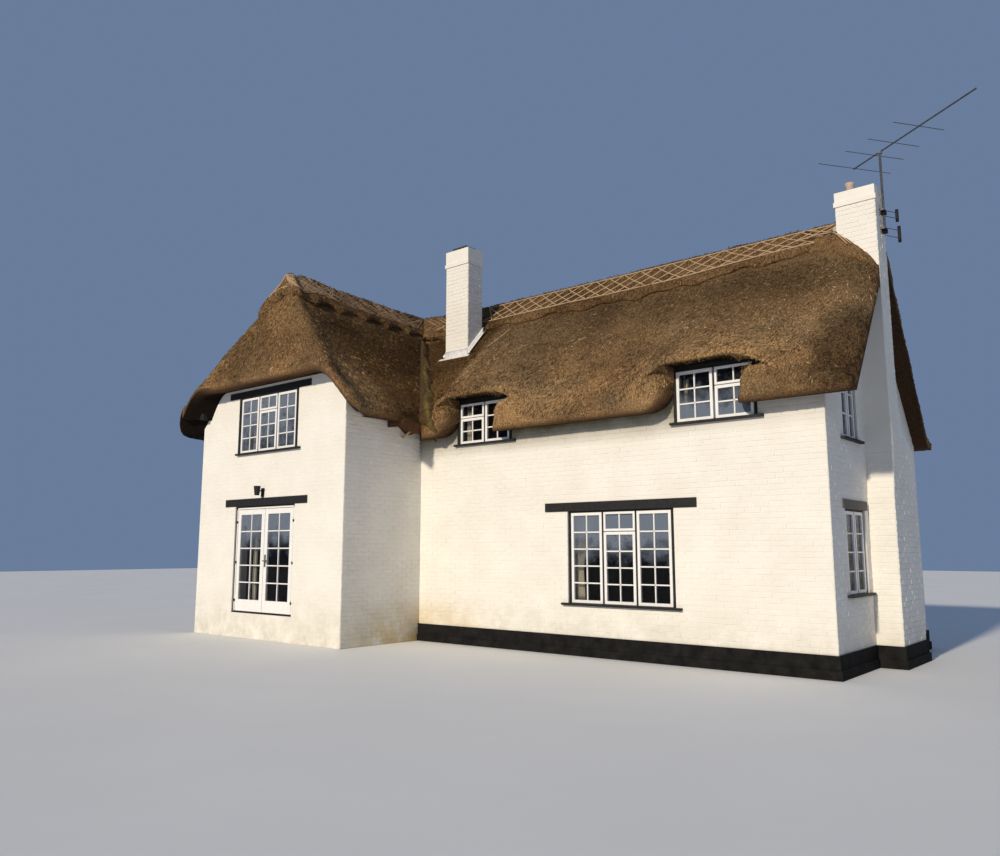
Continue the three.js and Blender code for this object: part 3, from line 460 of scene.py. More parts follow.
def weathered(n, place, color, gold):
    """Reed darker at the ridge, with painted shade on the wing's inner slope and a painted tree shadow low on
    the main roof's right end, and more golden low down.
    """
    def tinted(share, color, tint):
        return n.mix(share, color, n.mix(1.0, color, tint, "MULTIPLY"))

    x, y, z = n.split(place)
    (ridge, front, _), valley = at((RIDGE_X, WING_Y, 0)), at((VALLEY_X, 0, 0))[0]
    joint = front + RIDGE_Y - WING_Y
    cloud = n.range(n.noise(n.scaled(place, (1, 1, 1), (5, 0, 2)), 1.3, 4.0), 0.3, 0.6)
    low = n.math("MAXIMUM", n.range(z, *GOLDEN_LOW), n.range(y, front + 0.6, front + 0.1, 0.0, 0.75))
    color = tinted(n.product(low, cloud), color, gold)
    color = tinted(n.range(z, *DARKENED), color, (0.82, 0.79, 0.74))
    # painted shade on the wing's inner slope
    side = n.product(n.range(x, ridge + 0.25, ridge + 0.8), n.range(x, valley + 0.2, valley),
                     n.range(y, front + 0.1, front + 0.9), n.range(y, joint, joint - 0.6))
    color = tinted(side, color, (0.5, 0.44, 0.34))
    # the painted tree shadow, round its middle on the main roof
    across, up = (n.math("DIVIDE", n.math("SUBTRACT", axis, middle), size)
                  for axis, middle, size in ((x, PAINTED_SHADOW[0], PAINTED_SHADOW_SIZE[0]), (z, PAINTED_SHADOW[2], PAINTED_SHADOW_SIZE[1])))
    away = n.math("SQRT", n.sum(n.product(across, across), n.product(up, up)))
    cloud = n.range(n.noise(place, 4.0, 5.0, 0.7), 0.2, 0.8, -0.35, 0.35)
    return tinted(n.range(n.sum(away, cloud), 0.6, 1.25, 0.85, 0.0), color, (0.28, 0.27, 0.27))


def thatch_material(name, dark, mid, light, gold=None):
    """Weathered reed: broken streaks down the slope, redder butts where it is cut, and painted shade on the
    undersides and under the brows.
    """
    n = Nodes(name, 0.95, shine=0.1)
    place = n.coords()
    u, v, _ = n.split(n.coords("UV"))
    bend = n.range(n.noise(place, 3.0, 3.0, 0.6), 0.2, 0.8, -0.12, 0.12)
    streaks = n.node("ShaderNodeCombineXYZ", 0, {0: n.product(n.sum(u, bend), 70.0), 1: n.product(v, 9.0)})
    strands = n.noise(streaks, 1.0, 5.0, 0.7)
    grains = n.noise(place, 42.0, 5.0, 0.75)
    tone = n.sum(n.product(strands, 0.45), n.product(grains, 0.55))
    tone = n.sum(tone, n.range(n.noise(place, 0.8, 5.0, 0.62), 0.25, 0.75, -0.1, 0.1))
    color = n.ramp(tone, [(0.36, dark), (0.5, mid), (0.66, light)])
    stained = n.product(n.range(n.noise(place, 1.6, 4.0, 0.6), 0.45, 0.7), 0.45)
    color = n.mix(stained, color, tuple(c * f for c, f in zip(mid, (0.75, 0.62, 0.5))))
    if gold:
        color = weathered(n, place, color, gold)
    butt_and_shade = n.attribute("butt_and_shade")
    cut = [(0.35, (0.05, 0.024, 0.011)), (0.5, (0.15, 0.082, 0.042)), (0.7, (0.36, 0.2, 0.1))]
    color = n.mix(butt_and_shade, color, n.ramp(n.noise(place, 70.0, 4.0, 0.7), cut))
    # painted shade: past 1 the point value turns the reed near black on undersides and under the brows
    color = n.mix(n.range(butt_and_shade, 1.0, 2.0), color, (0.012, 0.008, 0.005))
    height = n.sum(n.product(strands, 0.9), n.product(n.voronoi(place, 48.0), 0.7))
    return n.finish(color, n.sum(height, grains), 0.035)


def moss_material(name):
    """Dark reed, with yellow-green moss where the point value moss is high."""
    n = Nodes(name, 0.95, shine=0.1)
    place = n.coords()
    grain = n.range(n.noise(place, 34.0, 5.0, 0.7), 0.3, 0.7)
    share = n.product(n.attribute("moss"), n.range(n.noise(place, 7.0, 5.0, 0.7), 0.3, 0.6, 0.3, 1.0))
    reed = n.mix(grain, (0.03, 0.018, 0.009), (0.17, 0.105, 0.05))
    moss = n.mix(grain, (0.09, 0.07, 0.02), (0.34, 0.27, 0.08))
    return n.finish(n.mix(share, reed, moss), n.noise(place, 90.0, 4.0), 0.03)


def reed_end_material(name, dark, light, gold):
    """Loose reed ends, each with its own shade of straw."""
    n = Nodes(name, 0.85, shine=0.1)
    place = n.coords()
    shade = n.sum(n.attribute("tint"), n.range(n.noise(place, 1.1, 4.0, 0.6), 0.3, 0.7, -0.2, 0.2))
    middle = tuple(math.sqrt(a * b) for a, b in zip(dark, light))
    color = n.ramp(shade, [(0.15, dark), (0.6, middle), (0.97, light)])
    return n.finish(weathered(n, place, color, gold))


BRICK = wall_material("painted_brick", (0.86, 0.83, 0.76), (0.80, 0.765, 0.69), (0.55, 0.51, 0.44))
WHITE = plain_material("white_paint", (0.82, 0.81, 0.78), (0.90, 0.89, 0.87), 0.38)
BLACK = plain_material("black_paint", (0.006, 0.006, 0.0065), (0.018, 0.018, 0.018), 0.6, shine=0.3)
TAR = plain_material("plinth_tar", (0.005, 0.005, 0.0055), (0.02, 0.019, 0.018), 0.8, scale=6.0, shine=0.08)
OLD_LINTEL = plain_material("weathered_lintel", (0.10, 0.085, 0.07), (0.2, 0.175, 0.15), 0.8, scale=30.0)
BOARDS = plain_material("floor_boards", (0.09, 0.055, 0.03), (0.13, 0.085, 0.05), 0.6)
LEAD = plain_material("grey_lead", (0.6, 0.59, 0.57), (0.84, 0.82, 0.8), 0.75, shine=0.3)
STONE = plain_material("old_stone", (0.36, 0.35, 0.32), (0.55, 0.54, 0.5), 0.85)
SLATE = plain_material("dark_slate", (0.03, 0.03, 0.032), (0.09, 0.09, 0.092), 0.8, shine=0.3)
CLAY = plain_material("fired_clay", (0.45, 0.33, 0.26), (0.62, 0.5, 0.42), 0.8)
METAL = plain_material("dull_rod", (0.06, 0.06, 0.065), (0.12, 0.12, 0.12), 0.5, 0.3)
GLASS = glass_material("window_glass")
DOOR_GLASS = glass_material("door_glass", (0.9, 2.4))
REED_COLORS = (0.04, 0.025, 0.011), (0.22, 0.14, 0.072), (0.58, 0.42, 0.23)
REED = thatch_material("reed", *REED_COLORS, gold=(1.9, 1.74, 1.5))
RIDGE_REED = thatch_material("ridge_reed", (0.045, 0.023, 0.01), (0.22, 0.125, 0.055), (0.56, 0.36, 0.18))
REED_ENDS = reed_end_material("reed_ends", (0.05, 0.028, 0.012), (0.78, 0.58, 0.34), (1.45, 1.35, 1.2))
MOSS = moss_material("moss_and_reed")
BUTT_REED = plain_material("reed_butts", (0.05, 0.024, 0.012), (0.19, 0.1, 0.05), 0.95, 0.0, 60.0, 0.01, 0.1)
CLOTH = plain_material("curtain_cloth", (0.72, 0.66, 0.52), (0.85, 0.80, 0.66), 0.9, scale=60.0)
HAZEL = plain_material("hazel_rod", (0.34, 0.22, 0.11), (0.56, 0.40, 0.24), 0.7, scale=40.0)
OLD_HAZEL = plain_material("old_hazel", (0.13, 0.075, 0.04), (0.42, 0.28, 0.16), 0.8, scale=9.0, shine=0.2)

NODE_MATERIALS = {
    "brick": BRICK,
    "black": BLACK,
    "white": WHITE,
    "glass": GLASS,
    "floor": BOARDS,
    "lead": LEAD,
    "stone": STONE,
    "pot": CLAY,
    "metal": METAL,
    "thatch": REED,
    "ridge": RIDGE_REED,
}
NODE_EXCEPTIONS = {
    "gable_lower_lintel": OLD_LINTEL,
    "valley_cowl": SLATE,
    "plinth": TAR,
    "door_frame": BLACK,
    "left_door_glass": DOOR_GLASS,
    "right_door_glass": DOOR_GLASS,
}


def paint_nodes():
    for row in frame["record"]["subparts"]:
        name = row["node"]
        material = BLACK if "_window" in name else NODE_MATERIALS[row["material_slot"]]
        NODES[name].data.materials.clear()
        NODES[name].data.materials.append(NODE_EXCEPTIONS.get(name, material))


paint_nodes()

# Thatch: the same half sections as the solid's, in finer steps


def quarter(into):
    """The fall of a quarter circle from 0 at its start to 1 at its end."""
    into = np.clip(into, 0, 1)
    return 1 - np.sqrt(np.maximum(0, 1 - into * into))


def past_notch(x, middle, left, right):
    """How far x lies outside a notch."""
    return np.where(x < middle, middle - left - x, x - middle - right)


def brow_weight(x, half, side):
    """1 within half of each brow's middle, or of its notch where half is None, and 0 past the side."""
    most = np.zeros_like(x)
    for brow in BROWS:
        past = past_notch(x, *brow) if half is None else np.abs(x - brow[0]) - half
        most = np.maximum(most, 1 - smooth(past / side))
    return most


def notch_steps(x):
    """How far x is past its notch, and how far the lobe has risen and the brow's underside opened in it."""
    past = np.min([past_notch(x, *brow) for brow in BROWS], axis=0)
    return past, np.clip(-past / NOTCH_STEP, 0, 1), np.clip(-past / NOTCH_STEP - 1, 0, 1)


def lobe_ends(x):
    """How far the lobes' feet are rounded up and their tops rounded down beside the notches."""
    foot, top = np.zeros_like(x), np.zeros_like(x)
    for brow in BROWS:
        past = past_notch(x, *brow)
        left = x < brow[0]
        for there, low, high in ((left, LOBE_FOOT, LOBE_TOP), (~left, LOBE_FAR_FOOT, LOBE_FAR_TOP)):
            foot = np.maximum(foot, low[1] * quarter(1 - past / low[0]) * there)
            top = np.maximum(top, high[1] * quarter(1 - past / high[0]) * there)
    return foot, top


def verge_x(y):
    return between(VERGE_FRONT, VERGE_BACK, (y + EAVE_OUT) / (BACK_Y + 2 * EAVE_OUT))


def roll_drop(x, y):
    """How far the reed rolls down towards the verge."""
    return ROLL_DROP * quarter(1 - (verge_x(y) - x) / ROLL)


# how far the foot of the eave lies back, as a share of the way to the wall, by height
NOSE_FOOT = ((0.27, 0.0), (0.19, -0.004), (0.12, 0.002), (0.055, 0.022), (0.015, 0.052), (0.0, 0.09))
# the lip over the crease: the same share, by share of the lip's height
LIP_SHAPE = ((0.2, -0.06), (0.03, 0.0), (-0.02, 0.14), (0.0, 0.42), (0.07, 0.72))
NOSE_BACK = 1 / 6


class Half:
    """One half section at many stations: plan points of eave, wall, ridge and inner ridge."""

    def __init__(self, eave, wall, ridge, inner, low, browed=False):
        self.eave, self.wall, self.ridge, self.inner, self.low = eave, wall, ridge, inner, low
        self.rolled, self.grid = browed, None
        x = eave[:, 0] if browed else np.full(len(low), 1e3)
        self.past, self.risen, self.opened = notch_steps(x)
        self.leans = np.any([(x > brow[0]) & (x < brow[0] + LEAN_REACH) for brow in BROWS], axis=0)
        self.crease = brow_weight(x, None, CREASE_PAST)
        self.foot, self.top = lobe_ends(x)
        self.butts = np.maximum(quarter(1 - self.past / LOBE_ROUND), 0.5 * self.foot / LOBE_FOOT[1])
        self.lift = BROW_LIFT * brow_weight(x, BROW_FLAT, BROW_SPILL)
        self.under_lift = BROW_UNDER_LIFT * brow_weight(x, None, BROW_UNDER_SIDE)
        self.under_lift = np.maximum(self.under_lift, self.foot * browed)
        self.high = NOSE + self.lift
        self.lip_foot = self.high - LIP
        self.dropped = self.drop(*eave.T)

    def drop(self, x, y):
        return roll_drop(x, y) if self.rolled else np.zeros_like(x)

    def surface(self, t):
        """The slope at a share of the way up, the same at all stations or one for each."""
        t = np.broadcast_to(np.asarray(t, float), len(self.low))
        if self.grid is not None:
            return self.softened(t)
        xy = between(between(self.eave, self.wall, NOSE_BACK), self.ridge[:, :2], t[:, None])
        ease = between(ROLL_FOOT, 1, np.clip(t / ROLL_UNTIL, 0, 1))
        z = between(self.low + NOSE, self.ridge[:, 2], t) + self.lift * (1 - t) ** BROW_FADE
        return np.column_stack([xy, z - self.drop(*xy.T) * ease])

    def softened(self, t):
        """The slope on the softened grid, where there is one."""
        place = np.clip(t, 0, 1) * (len(self.grid) - 1)
        row = np.minimum(place.astype(int), len(self.grid) - 2)
        column = np.arange(len(t))
        return between(self.grid[row, column], self.grid[row + 1, column], (place - row)[:, None])

    def under(self, t):
        """The underside at a share of the way from wall to inner ridge."""
        z = between(self.low + SOFFIT_RISE, self.inner[:, 2], t) + self.under_lift * (1 - t) ** BROW_FADE
        return np.column_stack([between(self.wall, self.inner[:, :2], t), z])

    def nose(self, inward, height):
        """A point at a share of the way from eave to wall, at a height over the eave."""
        xy = between(self.eave, self.wall, np.asarray(inward).reshape(-1, 1))
        return np.column_stack([xy, self.low + height])

    def plain(self, rise):
        """How far back a plain nose lies at a height."""
        return NOSE_BACK * np.clip((rise / self.high - 0.45) / 0.55, 0, 1) ** 1.5

    def rolled_down(self, rise):
        return rise - self.dropped * (rise / self.high) ** 2 * ROLL_FOOT

    def front(self):
        """The eave's own face, round its nose and up to the crease under the lip, or drawn back."""
        rows = [(inward, np.full(len(self.low), rise)) for inward, rise in NOSE_FOOT]
        for u in np.linspace(0, 1, 9)[1:]:
            rise = between(NOSE_FOOT[-1][1], self.lip_foot, u)
            belly = 0.05 * np.sin(math.pi * u) * np.minimum(1, self.lift / 0.3)
            rows.append((self.plain(rise) + self.crease * CREASE_DEEP * u**5 - belly, rise))
        points = []
        for k, (inward, rise) in enumerate(rows):
            lean = self.leans * np.interp(rise / self.lip_foot, *LOBE_LEAN)
            inward = between(inward, 1.02, quarter(1 - (self.past - lean) / LOBE_ROUND))
            inward = between(inward, between(0.93, CREASE_DEEP, k / (len(rows) - 1)), self.opened)
            ends = self.foot - rise * (self.foot + self.top * self.crease) / self.lip_foot
            height = between(self.rolled_down(rise) + ends, self.lip_foot, self.risen)
            points.append(self.nose(inward, height))
        return points

    def lip(self):
        """The lip that hangs over the crease, or the top of a plain nose."""
        points = []
        for out, u in LIP_SHAPE:
            rise = between(self.lip_foot, self.high, u * self.crease + (1 - self.crease) * max(0.08, u))
            points.append(self.nose(between(self.plain(rise), out, self.crease), self.rolled_down(rise)))
        return points

    def outer(self, steps):
        """The eave's face and lip, then the slope up to the ridge."""
        return self.front() + self.lip() + [self.surface(t) for t in (0, *steps)]


SLOPE_STEPS = np.linspace(0, 1, 97)[1:]
UNDER_STEPS = (0, 0.05, 0.15, 0.4, 0.7, 1)


def main_halves(front_x, ridge_x, back_x):
    """The front and back halves of the main range, from where each station meets the eaves and the ridge."""
    def line(x, *others):
        return np.column_stack([x, *(np.full(len(x), other) for other in others)])

    def half(x, eave_y, wall_y, low):
        wall_x = between(x, ridge_x, EAVE_OUT / HALF_SPREAD)
        return Half(line(x, eave_y), line(wall_x, wall_y), line(ridge_x, RIDGE_Y, MAIN_RIDGE),
                    line(ridge_x, RIDGE_Y, MAIN_RIDGE - THATCH_DEPTH), np.full(len(x), low), True)

    return half(front_x, -EAVE_OUT, 0.0, MAIN_EAVE), half(back_x, BACK_Y + EAVE_OUT, BACK_Y, BACK_EAVE)


def main_places():
    """Places of the stations along the front eave, the ridge and the back eave, closer beside the notches."""
    fan = between(np.array([VALLEY_X, RIDGE_X, HIP_X]), VALLEY_X, np.linspace(0, 1, 60)[:-1, None])
    end = verge_x(np.array([-EAVE_OUT, RIDGE_Y, BACK_Y + EAVE_OUT])) - ROLL
    close = []
    for middle, left, right in BROWS:
        close += [middle - left - LOBE_FOOT[0] * (1 - u) for u in np.linspace(0, 0.7, 8)]
        for edge, side in ((middle - left, -1), (middle + right, 1)):
            turns = np.linspace(0, math.pi / 2, 9)
            close += [edge + side * LOBE_ROUND * (1 - math.sin(turn)) for turn in turns]
            close += [edge - side * NOTCH_STEP * k for k in (1, 2)]
    close = (np.array(close) - VALLEY_X) / (end[0] - VALLEY_X)
    run = np.unique(np.concatenate([np.linspace(0, 1, 150), close]).round(6))[:, None]
    turn = np.sin(np.linspace(0, math.pi / 2, 22)[1:])[:, None]
    return np.concatenate([fan, between(VALLEY_X, end, run), end + ROLL * turn])


def side_low(y, side):
    sweep = np.maximum(0, 1 - (y - HIP_Y) / EAVE_SWEEP)
    corner = HIP_CORNER_RIGHT if side > 0 else HIP_CORNER_LEFT
    fall = (WING_EAVE - BACK_EAVE) * smooth((y - RIDGE_Y) / HALF_WIDTH) if side < 0 else 0
    return WING_EAVE + (corner - WING_EAVE) * sweep * sweep - fall


def hip_low(inward, side):
    sweep = np.maximum(0, 1 - inward / HIP_RUN)
    corner = HIP_CORNER_RIGHT if side > 0 else HIP_CORNER_LEFT
    return HIP_EAVE - (HIP_EAVE - corner) * sweep * sweep


def spread(y, side):
    flare = LEFT_FLARE * (1 - smooth((y - HIP_Y) / LEFT_FLARE_RUN)) if side < 0 else 0
    return HALF_SPREAD + flare


def wing_half(side):
    """Stations of one side of the wing, from the diagonal joint forward and round the hip."""
    rows, corner = [], CORNER_ROUND[side]

    def row(eave, wall, ridge_y, inner_y, low):
        crest = between(WING_RIDGE_FRONT, WING_RIDGE_BACK, (ridge_y - APEX_Y) / (RIDGE_Y - APEX_Y))
        rows.append((eave, wall, ridge_y, crest, inner_y, low))

    for t in np.linspace(0, 1, 90)[:-1]:
        y, wall_y = -EAVE_OUT, 0.0
        if side < 0:
            y, wall_y = between(BACK_Y + EAVE_OUT, y, t), between(BACK_Y, y, t)
        ridge_y = between(RIDGE_Y, -EAVE_OUT, t)
        row((spread(y, side), y), (HALF_WIDTH, wall_y), ridge_y, ridge_y, side_low(y, side))
    for t in np.linspace(0, 1, 36)[:-1]:
        y = between(-EAVE_OUT, APEX_Y, t)
        row((spread(y, side), y), (HALF_WIDTH, y), y, max(y, INNER_APEX_Y), side_low(y, side))
    for t in np.linspace(0, 1, 12)[:-1]:
        y = between(APEX_Y, HIP_Y + corner, t)
        wall_y = between(APEX_Y, WING_Y + corner, t)
        row((spread(y, side), y), (HALF_WIDTH, wall_y), APEX_Y, INNER_APEX_Y, side_low(y, side))
    reach = spread(HIP_Y, side)
    for turn in np.linspace(0, math.pi / 2, 16):
        in_x = corner * (1 - math.cos(turn))
        in_y = corner * (1 - math.sin(turn))
        low = between(side_low(HIP_Y + in_y, side), hip_low(in_x, side), math.sin(turn))
        row((reach - in_x, HIP_Y + in_y), (HALF_WIDTH - in_x, WING_Y + in_y), APEX_Y, INNER_APEX_Y, low)
    start = HALF_SPREAD - (reach - corner)
    for t in np.linspace(0, 1, 70)[1:]:
        inward = between(start, HALF_SPREAD, t)
        wall = between(HALF_WIDTH - corner, 0.0, t), WING_Y
        row((HALF_SPREAD - inward, HIP_Y), wall, APEX_Y, INNER_APEX_Y, hip_low(max(inward, 0), side))
    eave = np.array([(RIDGE_X + side * e[0], e[1]) for e, *_ in rows])
    wall = np.array([(RIDGE_X + side * w[0], w[1]) for _, w, *_ in rows])
    ridge = np.array([(RIDGE_X, r[2], r[3]) for r in rows])
    inner = np.array([(RIDGE_X, r[4], r[3] - THATCH_DEPTH) for r in rows])
    return Half(eave, wall, ridge, inner, np.array([r[5] for r in rows], float))


STEP_EVEN = 0.02


def soften(line, reach):
    """A line of points with its bends rounded over about reach metres, its two ends kept."""
    if reach < STEP_EVEN:
        return line
    run = lengths_along(line)
    even = np.arange(0, run[-1] + STEP_EVEN, STEP_EVEN)
    dots = np.column_stack([np.interp(even, run, axis) for axis in line.T])
    wide = int(2.5 * reach / STEP_EVEN)
    weight = np.exp(-0.5 * (np.arange(-wide, wide + 1) * STEP_EVEN / reach) ** 2)
    head, tail = 2 * dots[0] - dots[wide:0:-1], 2 * dots[-1] - dots[-2 : -wide - 2 : -1]
    dots = np.concatenate([head, dots, tail])
    dots = [np.convolve(axis, weight / weight.sum(), "valid") for axis in dots.T]
    return np.column_stack([np.interp(run, even, axis) for axis in dots])


def round_hips(right, left):
    """Softens each level of the wing's two halves as one line round its front end, and keeps its bulk."""
    levels = np.linspace(0, 1, 81)
    lines = [np.concatenate([right.surface(t), left.surface(t)[-2::-1]]) for t in levels]
    reach = [min(HIP_SOFT * smooth(t / 0.2), 0.3 * HALF_SPREAD * (1 - t)) for t in levels]
    rows = [soften(2 * line - soften(line, r), r) for r, line in zip(reach, lines)]
    count = len(right.low)
    right.grid = np.array([row[:count] for row in rows])
    left.grid = np.array([row[count - 1 :][::-1] for row in rows])


# loose reed ends for each square metre, and the ranges of their length, width and lift
REED_DENSITY = 745
TUFT_LONG, TUFT_WIDE, TUFT_LIFT = (0.03, 0.095), (0.007, 0.013), (0.002, 0.016)
SWIRL, SCATTER = 1.0, 0.45
ROUGH, BACK_LEVEL = 0.011, 40
# the second count is the rows at the wing's foot painted as shade near its hip corner
FRONT_ROWS, LIP_SHADE_ROWS, BUTT_ROWS, CAP_ROWS = 14, 5, 3, 20
# the undersides' painted shade, on a scale where 1 is cut reed
UNDER_PAINTED_SHADE = 1.5


def inside(points):
    """House points kept within the box of the solids."""
    return np.clip(points, np.array(cad_low) - ORIGIN + 0.001, np.array(cad_high) - ORIGIN - 0.001)


def skin_normals(ring, row):
    """Unit normals of a skin's grid, which point up at the row."""
    normals = np.cross(np.gradient(ring, axis=0), np.gradient(ring, axis=1))
    length = np.linalg.norm(normals, axis=2)[..., None]
    normals = np.divide(normals, length, out=np.zeros_like(normals), where=length > 1e-9)
    return normals if normals[len(ring) // 2, row, 2] > 0 else -normals


def reed_ends(name, ring, normals, peak, rows, seed):
    """Loose reed ends over a skin: closed slivers that lie down the slope, swirl and stand up a little."""
    corner = ring[:-1][:, rows]
    along, up = ring[1:][:, rows] - corner, ring[:-1][:, rows + 1] - corner
    area = np.linalg.norm(np.cross(along, up), axis=2)
    pick = np.random.default_rng(seed)
    count = int(area.sum() * REED_DENSITY)
    spot = pick.choice(area.size, count, p=(area / area.sum()).ravel())
    a, b = pick.random((2, count, 1))
    flat = [grid.reshape(-1, 3)[spot] for grid in (corner, along, up, normals[:-1][:, rows])]
    base = flat[0] + a * flat[1] + b * flat[2]
    normal = flat[3]
    down = np.where((rows < peak)[spot % len(rows), None], -flat[2], flat[2])
    down /= np.linalg.norm(down, axis=1)[:, None]
    turn = SWIRL * noise(base, 0.45) + SCATTER * pick.normal(size=count)
    way = down * np.cos(turn)[:, None] + np.cross(normal, down) * np.sin(turn)[:, None]
    side = np.cross(way, normal)
    long = pick.uniform(*TUFT_LONG, (count, 1))
    wide = pick.uniform(*TUFT_WIDE, (count, 1)) / 2
    lift = pick.uniform(*TUFT_LIFT, (count, 1))
    root = base - way * long / 2
    tip = base + way * long / 2 + normal * lift
    sunk = root - normal * 0.004
    corners = sunk - side * wide, sunk + side * wide, root + normal * wide, tip
    points = inside(np.stack(corners, axis=1).reshape(-1, 3))
    sides = np.array([(0, 1, 2), (0, 2, 3), (2, 1, 3), (1, 0, 3)])
    faces = (np.arange(count)[:, None, None] * 4 + sides).reshape(-1, 3).tolist()
    tint = np.repeat(pick.beta(1.5, 2.8, count), 4)
    make(name, points, faces, REED_ENDS, "thatch", shaded=False, values={"tint": tint})


def end_strip(ring, base, top_count, flip):
    """Triangles between the top and the bottom chain of a ring."""
    count = len(ring)
    faces = []
    i, j = 0, 0
    while i < top_count - 1 or j < count - top_count - 1:
        above = count - 1 - j
        done = j == count - top_count - 1
        if done or (i < top_count - 1 and ring[i + 1, 1] <= ring[above - 1, 1]):
            face = (above, i + 1, i)
            i += 1
        else:
            face = (above, above - 1, i)
            j += 1
        faces.append([base + k for k in (face if flip else face[::-1])])
    return faces


def ring_faces(ring, top_count):
    """Faces of a skin closed round its rings of points, the first points its top, and across its two ends."""
    index = np.arange(ring[..., 0].size).reshape(ring.shape[:2])
    ends = end_strip(ring[0], 0, top_count, True) + end_strip(ring[-1], index[-1, 0], top_count, False)
    return tube_faces(index) + ends


def chains(over_front, over_back, under_front, under_back):
    """Rings through two halves: up the front and down the back, then back along the underside."""
    top = over_front + over_back[::-1][1:]
    bottom = under_front + under_back[::-1][1:]
    ring = np.stack(top + bottom[::-1], axis=1)
    down = np.zeros(ring.shape[:2])
    down[:, 1:] = np.cumsum(np.linalg.norm(np.diff(ring, axis=1), axis=2), axis=1)
    return ring, len(top), np.abs(down - down[:, len(over_front) - 1, None])


def butt_and_shade_values(front, back, peak, count, top_count):
    """The point value for cut reed: 1 for reed cut across, and more for painted shade on the undersides,
    under the brows and at the wing's hip corner.
    """
    rows = np.arange(count)
    from_foot = np.minimum(rows, top_count - 1 - rows)
    below, on_front = rows >= top_count, rows[None, :] <= peak
    share = np.where(on_front, front.butts[:, None], back.butts[:, None])
    cut = BUTT_ROWS + (FRONT_ROWS - BUTT_ROWS) * share
    butt_and_shade = np.where(below, UNDER_PAINTED_SHADE, np.clip((cut + 2 - from_foot) / 3, 0, 1))
    # painted shade at the wing's hip corner, on its lowest rows and its underside
    if not front.rolled:
        return butt_and_shade + share * ((from_foot < LIP_SHADE_ROWS) | below)
    # painted shade in the brows' notches, on the eave's face and underside
    opened = np.where(on_front, front.opened[:, None], back.opened[:, None])
    butt_and_shade += opened * ((from_foot <= FRONT_ROWS) | below)
    butt_and_shade[-1] = 0.5
    return butt_and_shade


def loft(name, front, back, replaces, seed):
    """A closed thatch skin through the stations, with reed unevenness on its outside and loose ends on it."""
    outer_front = front.outer(SLOPE_STEPS)
    under = [[half.under(t) for t in UNDER_STEPS] for half in (front, back)]
    ring, top_count, run = chains(outer_front, back.outer(SLOPE_STEPS), *under)
    count, peak = ring.shape[1], len(outer_front) - 1
    foot = len(outer_front) - len(SLOPE_STEPS)
    step = np.zeros(ring.shape[:2])
    step[1:] = np.linalg.norm(np.diff(ring, axis=0), axis=2)
    level = np.zeros(ring.shape[:2])
    level[:, : peak + 1] = np.cumsum(step[:, foot:peak].max(axis=1))[:, None]
    level[:, peak + 1 :] = np.cumsum(step[:, peak + 1 : top_count - foot].max(axis=1))[:, None] + BACK_LEVEL
    normals = skin_normals(ring, peak // 2)
    flat = ring.reshape(-1, 3)
    rough = noise(flat, 0.07) * 0.5 + noise(flat + 5, 0.035) * 0.35 + noise(flat + 11, 0.4) * 0.9
    rough = rough.reshape(ring.shape[:2])
    rough[:, top_count:] = 0
    ring = inside(ring + normals * (rough * ROUGH)[..., None])
    butt_and_shade = butt_and_shade_values(front, back, peak, count, top_count)
    slopes = np.r_[8 : peak - CAP_ROWS, peak + CAP_ROWS : top_count - 9]
    reed_ends(f"{name}_loose_ends", ring[:, :top_count], normals[:, :top_count], peak, slopes, seed)
    make(f"{name}_reed", ring.reshape(-1, 3), ring_faces(ring, top_count), REED, "thatch", replaces,
         uv=np.column_stack([level.ravel(), run.ravel()]), values={"butt_and_shade": butt_and_shade.ravel()})


places = main_places()
main_front, main_back = main_halves(places[:, 0], places[:, 1], places[:, 2])
loft("main_thatch", main_front, main_back, ("main_thatch",), 31)
wing_right, wing_left = wing_half(1), wing_half(-1)
round_hips(wing_right, wing_left)
from_corner = np.hypot(wing_left.eave[:, 0] - HIP_X, wing_left.eave[:, 1] - HIP_Y)
# near the hip corner the wing's foot is cut reed, with painted shade below it
wing_left.butts = 1 - smooth(from_corner - 0.35)
loft("wing_thatch", wing_right, wing_left, ("wing_thatch",), 32)

# Ridges: a saddle of reed with a wavy lower edge, and hazel rods laid over it

CAP_THICK = 0.11
# a cap's foot: how far up from its edge, and its share of the thickness there
CAP_EDGE = ((0.014, 0.0), (0.006, 0.25), (0.0, 0.5), (0.002, 0.75), (0.01, 0.93), (0.022, 1.0))
CAP_STEPS = (0.25, 0.4, 0.6, 0.8, 0.92, 1)
CAP_FOOT, WING_CAP_FOOT, HIP_BULGE = 0.785, 0.8, 0.1
CROWN, CROWN_FROM = 0.03, 0.8
RAIL_LOW, RAIL_HIGH = 0.26, 0.93
DIAMOND = 0.33
HAZEL_RADIUS = 0.0115


def crown(u):
    """How much higher a cap is near its top."""
    return CROWN * np.clip((u - CROWN_FROM) / (1 - CROWN_FROM), 0, 1)


def cap_line(half, foot, out):
    """The cap's outside on one slope, from its foot to the ridge, and its underside just below the thatch."""
    steps = [(foot + into, rise, 0.0) for into, rise in CAP_EDGE]
    steps += [(foot + (1 - foot) * u, 1.0, crown(u)) for u in CAP_STEPS]
    over = [half.surface(t) + (0, 0, CAP_THICK * rise + more) + out * rise for t, rise, more in steps]
    under = [half.surface(foot + 0.014 + (0.986 - foot) * u) - (0, 0, 0.04) for u in (0, 0.3, 0.6, 1)]
    return over, under


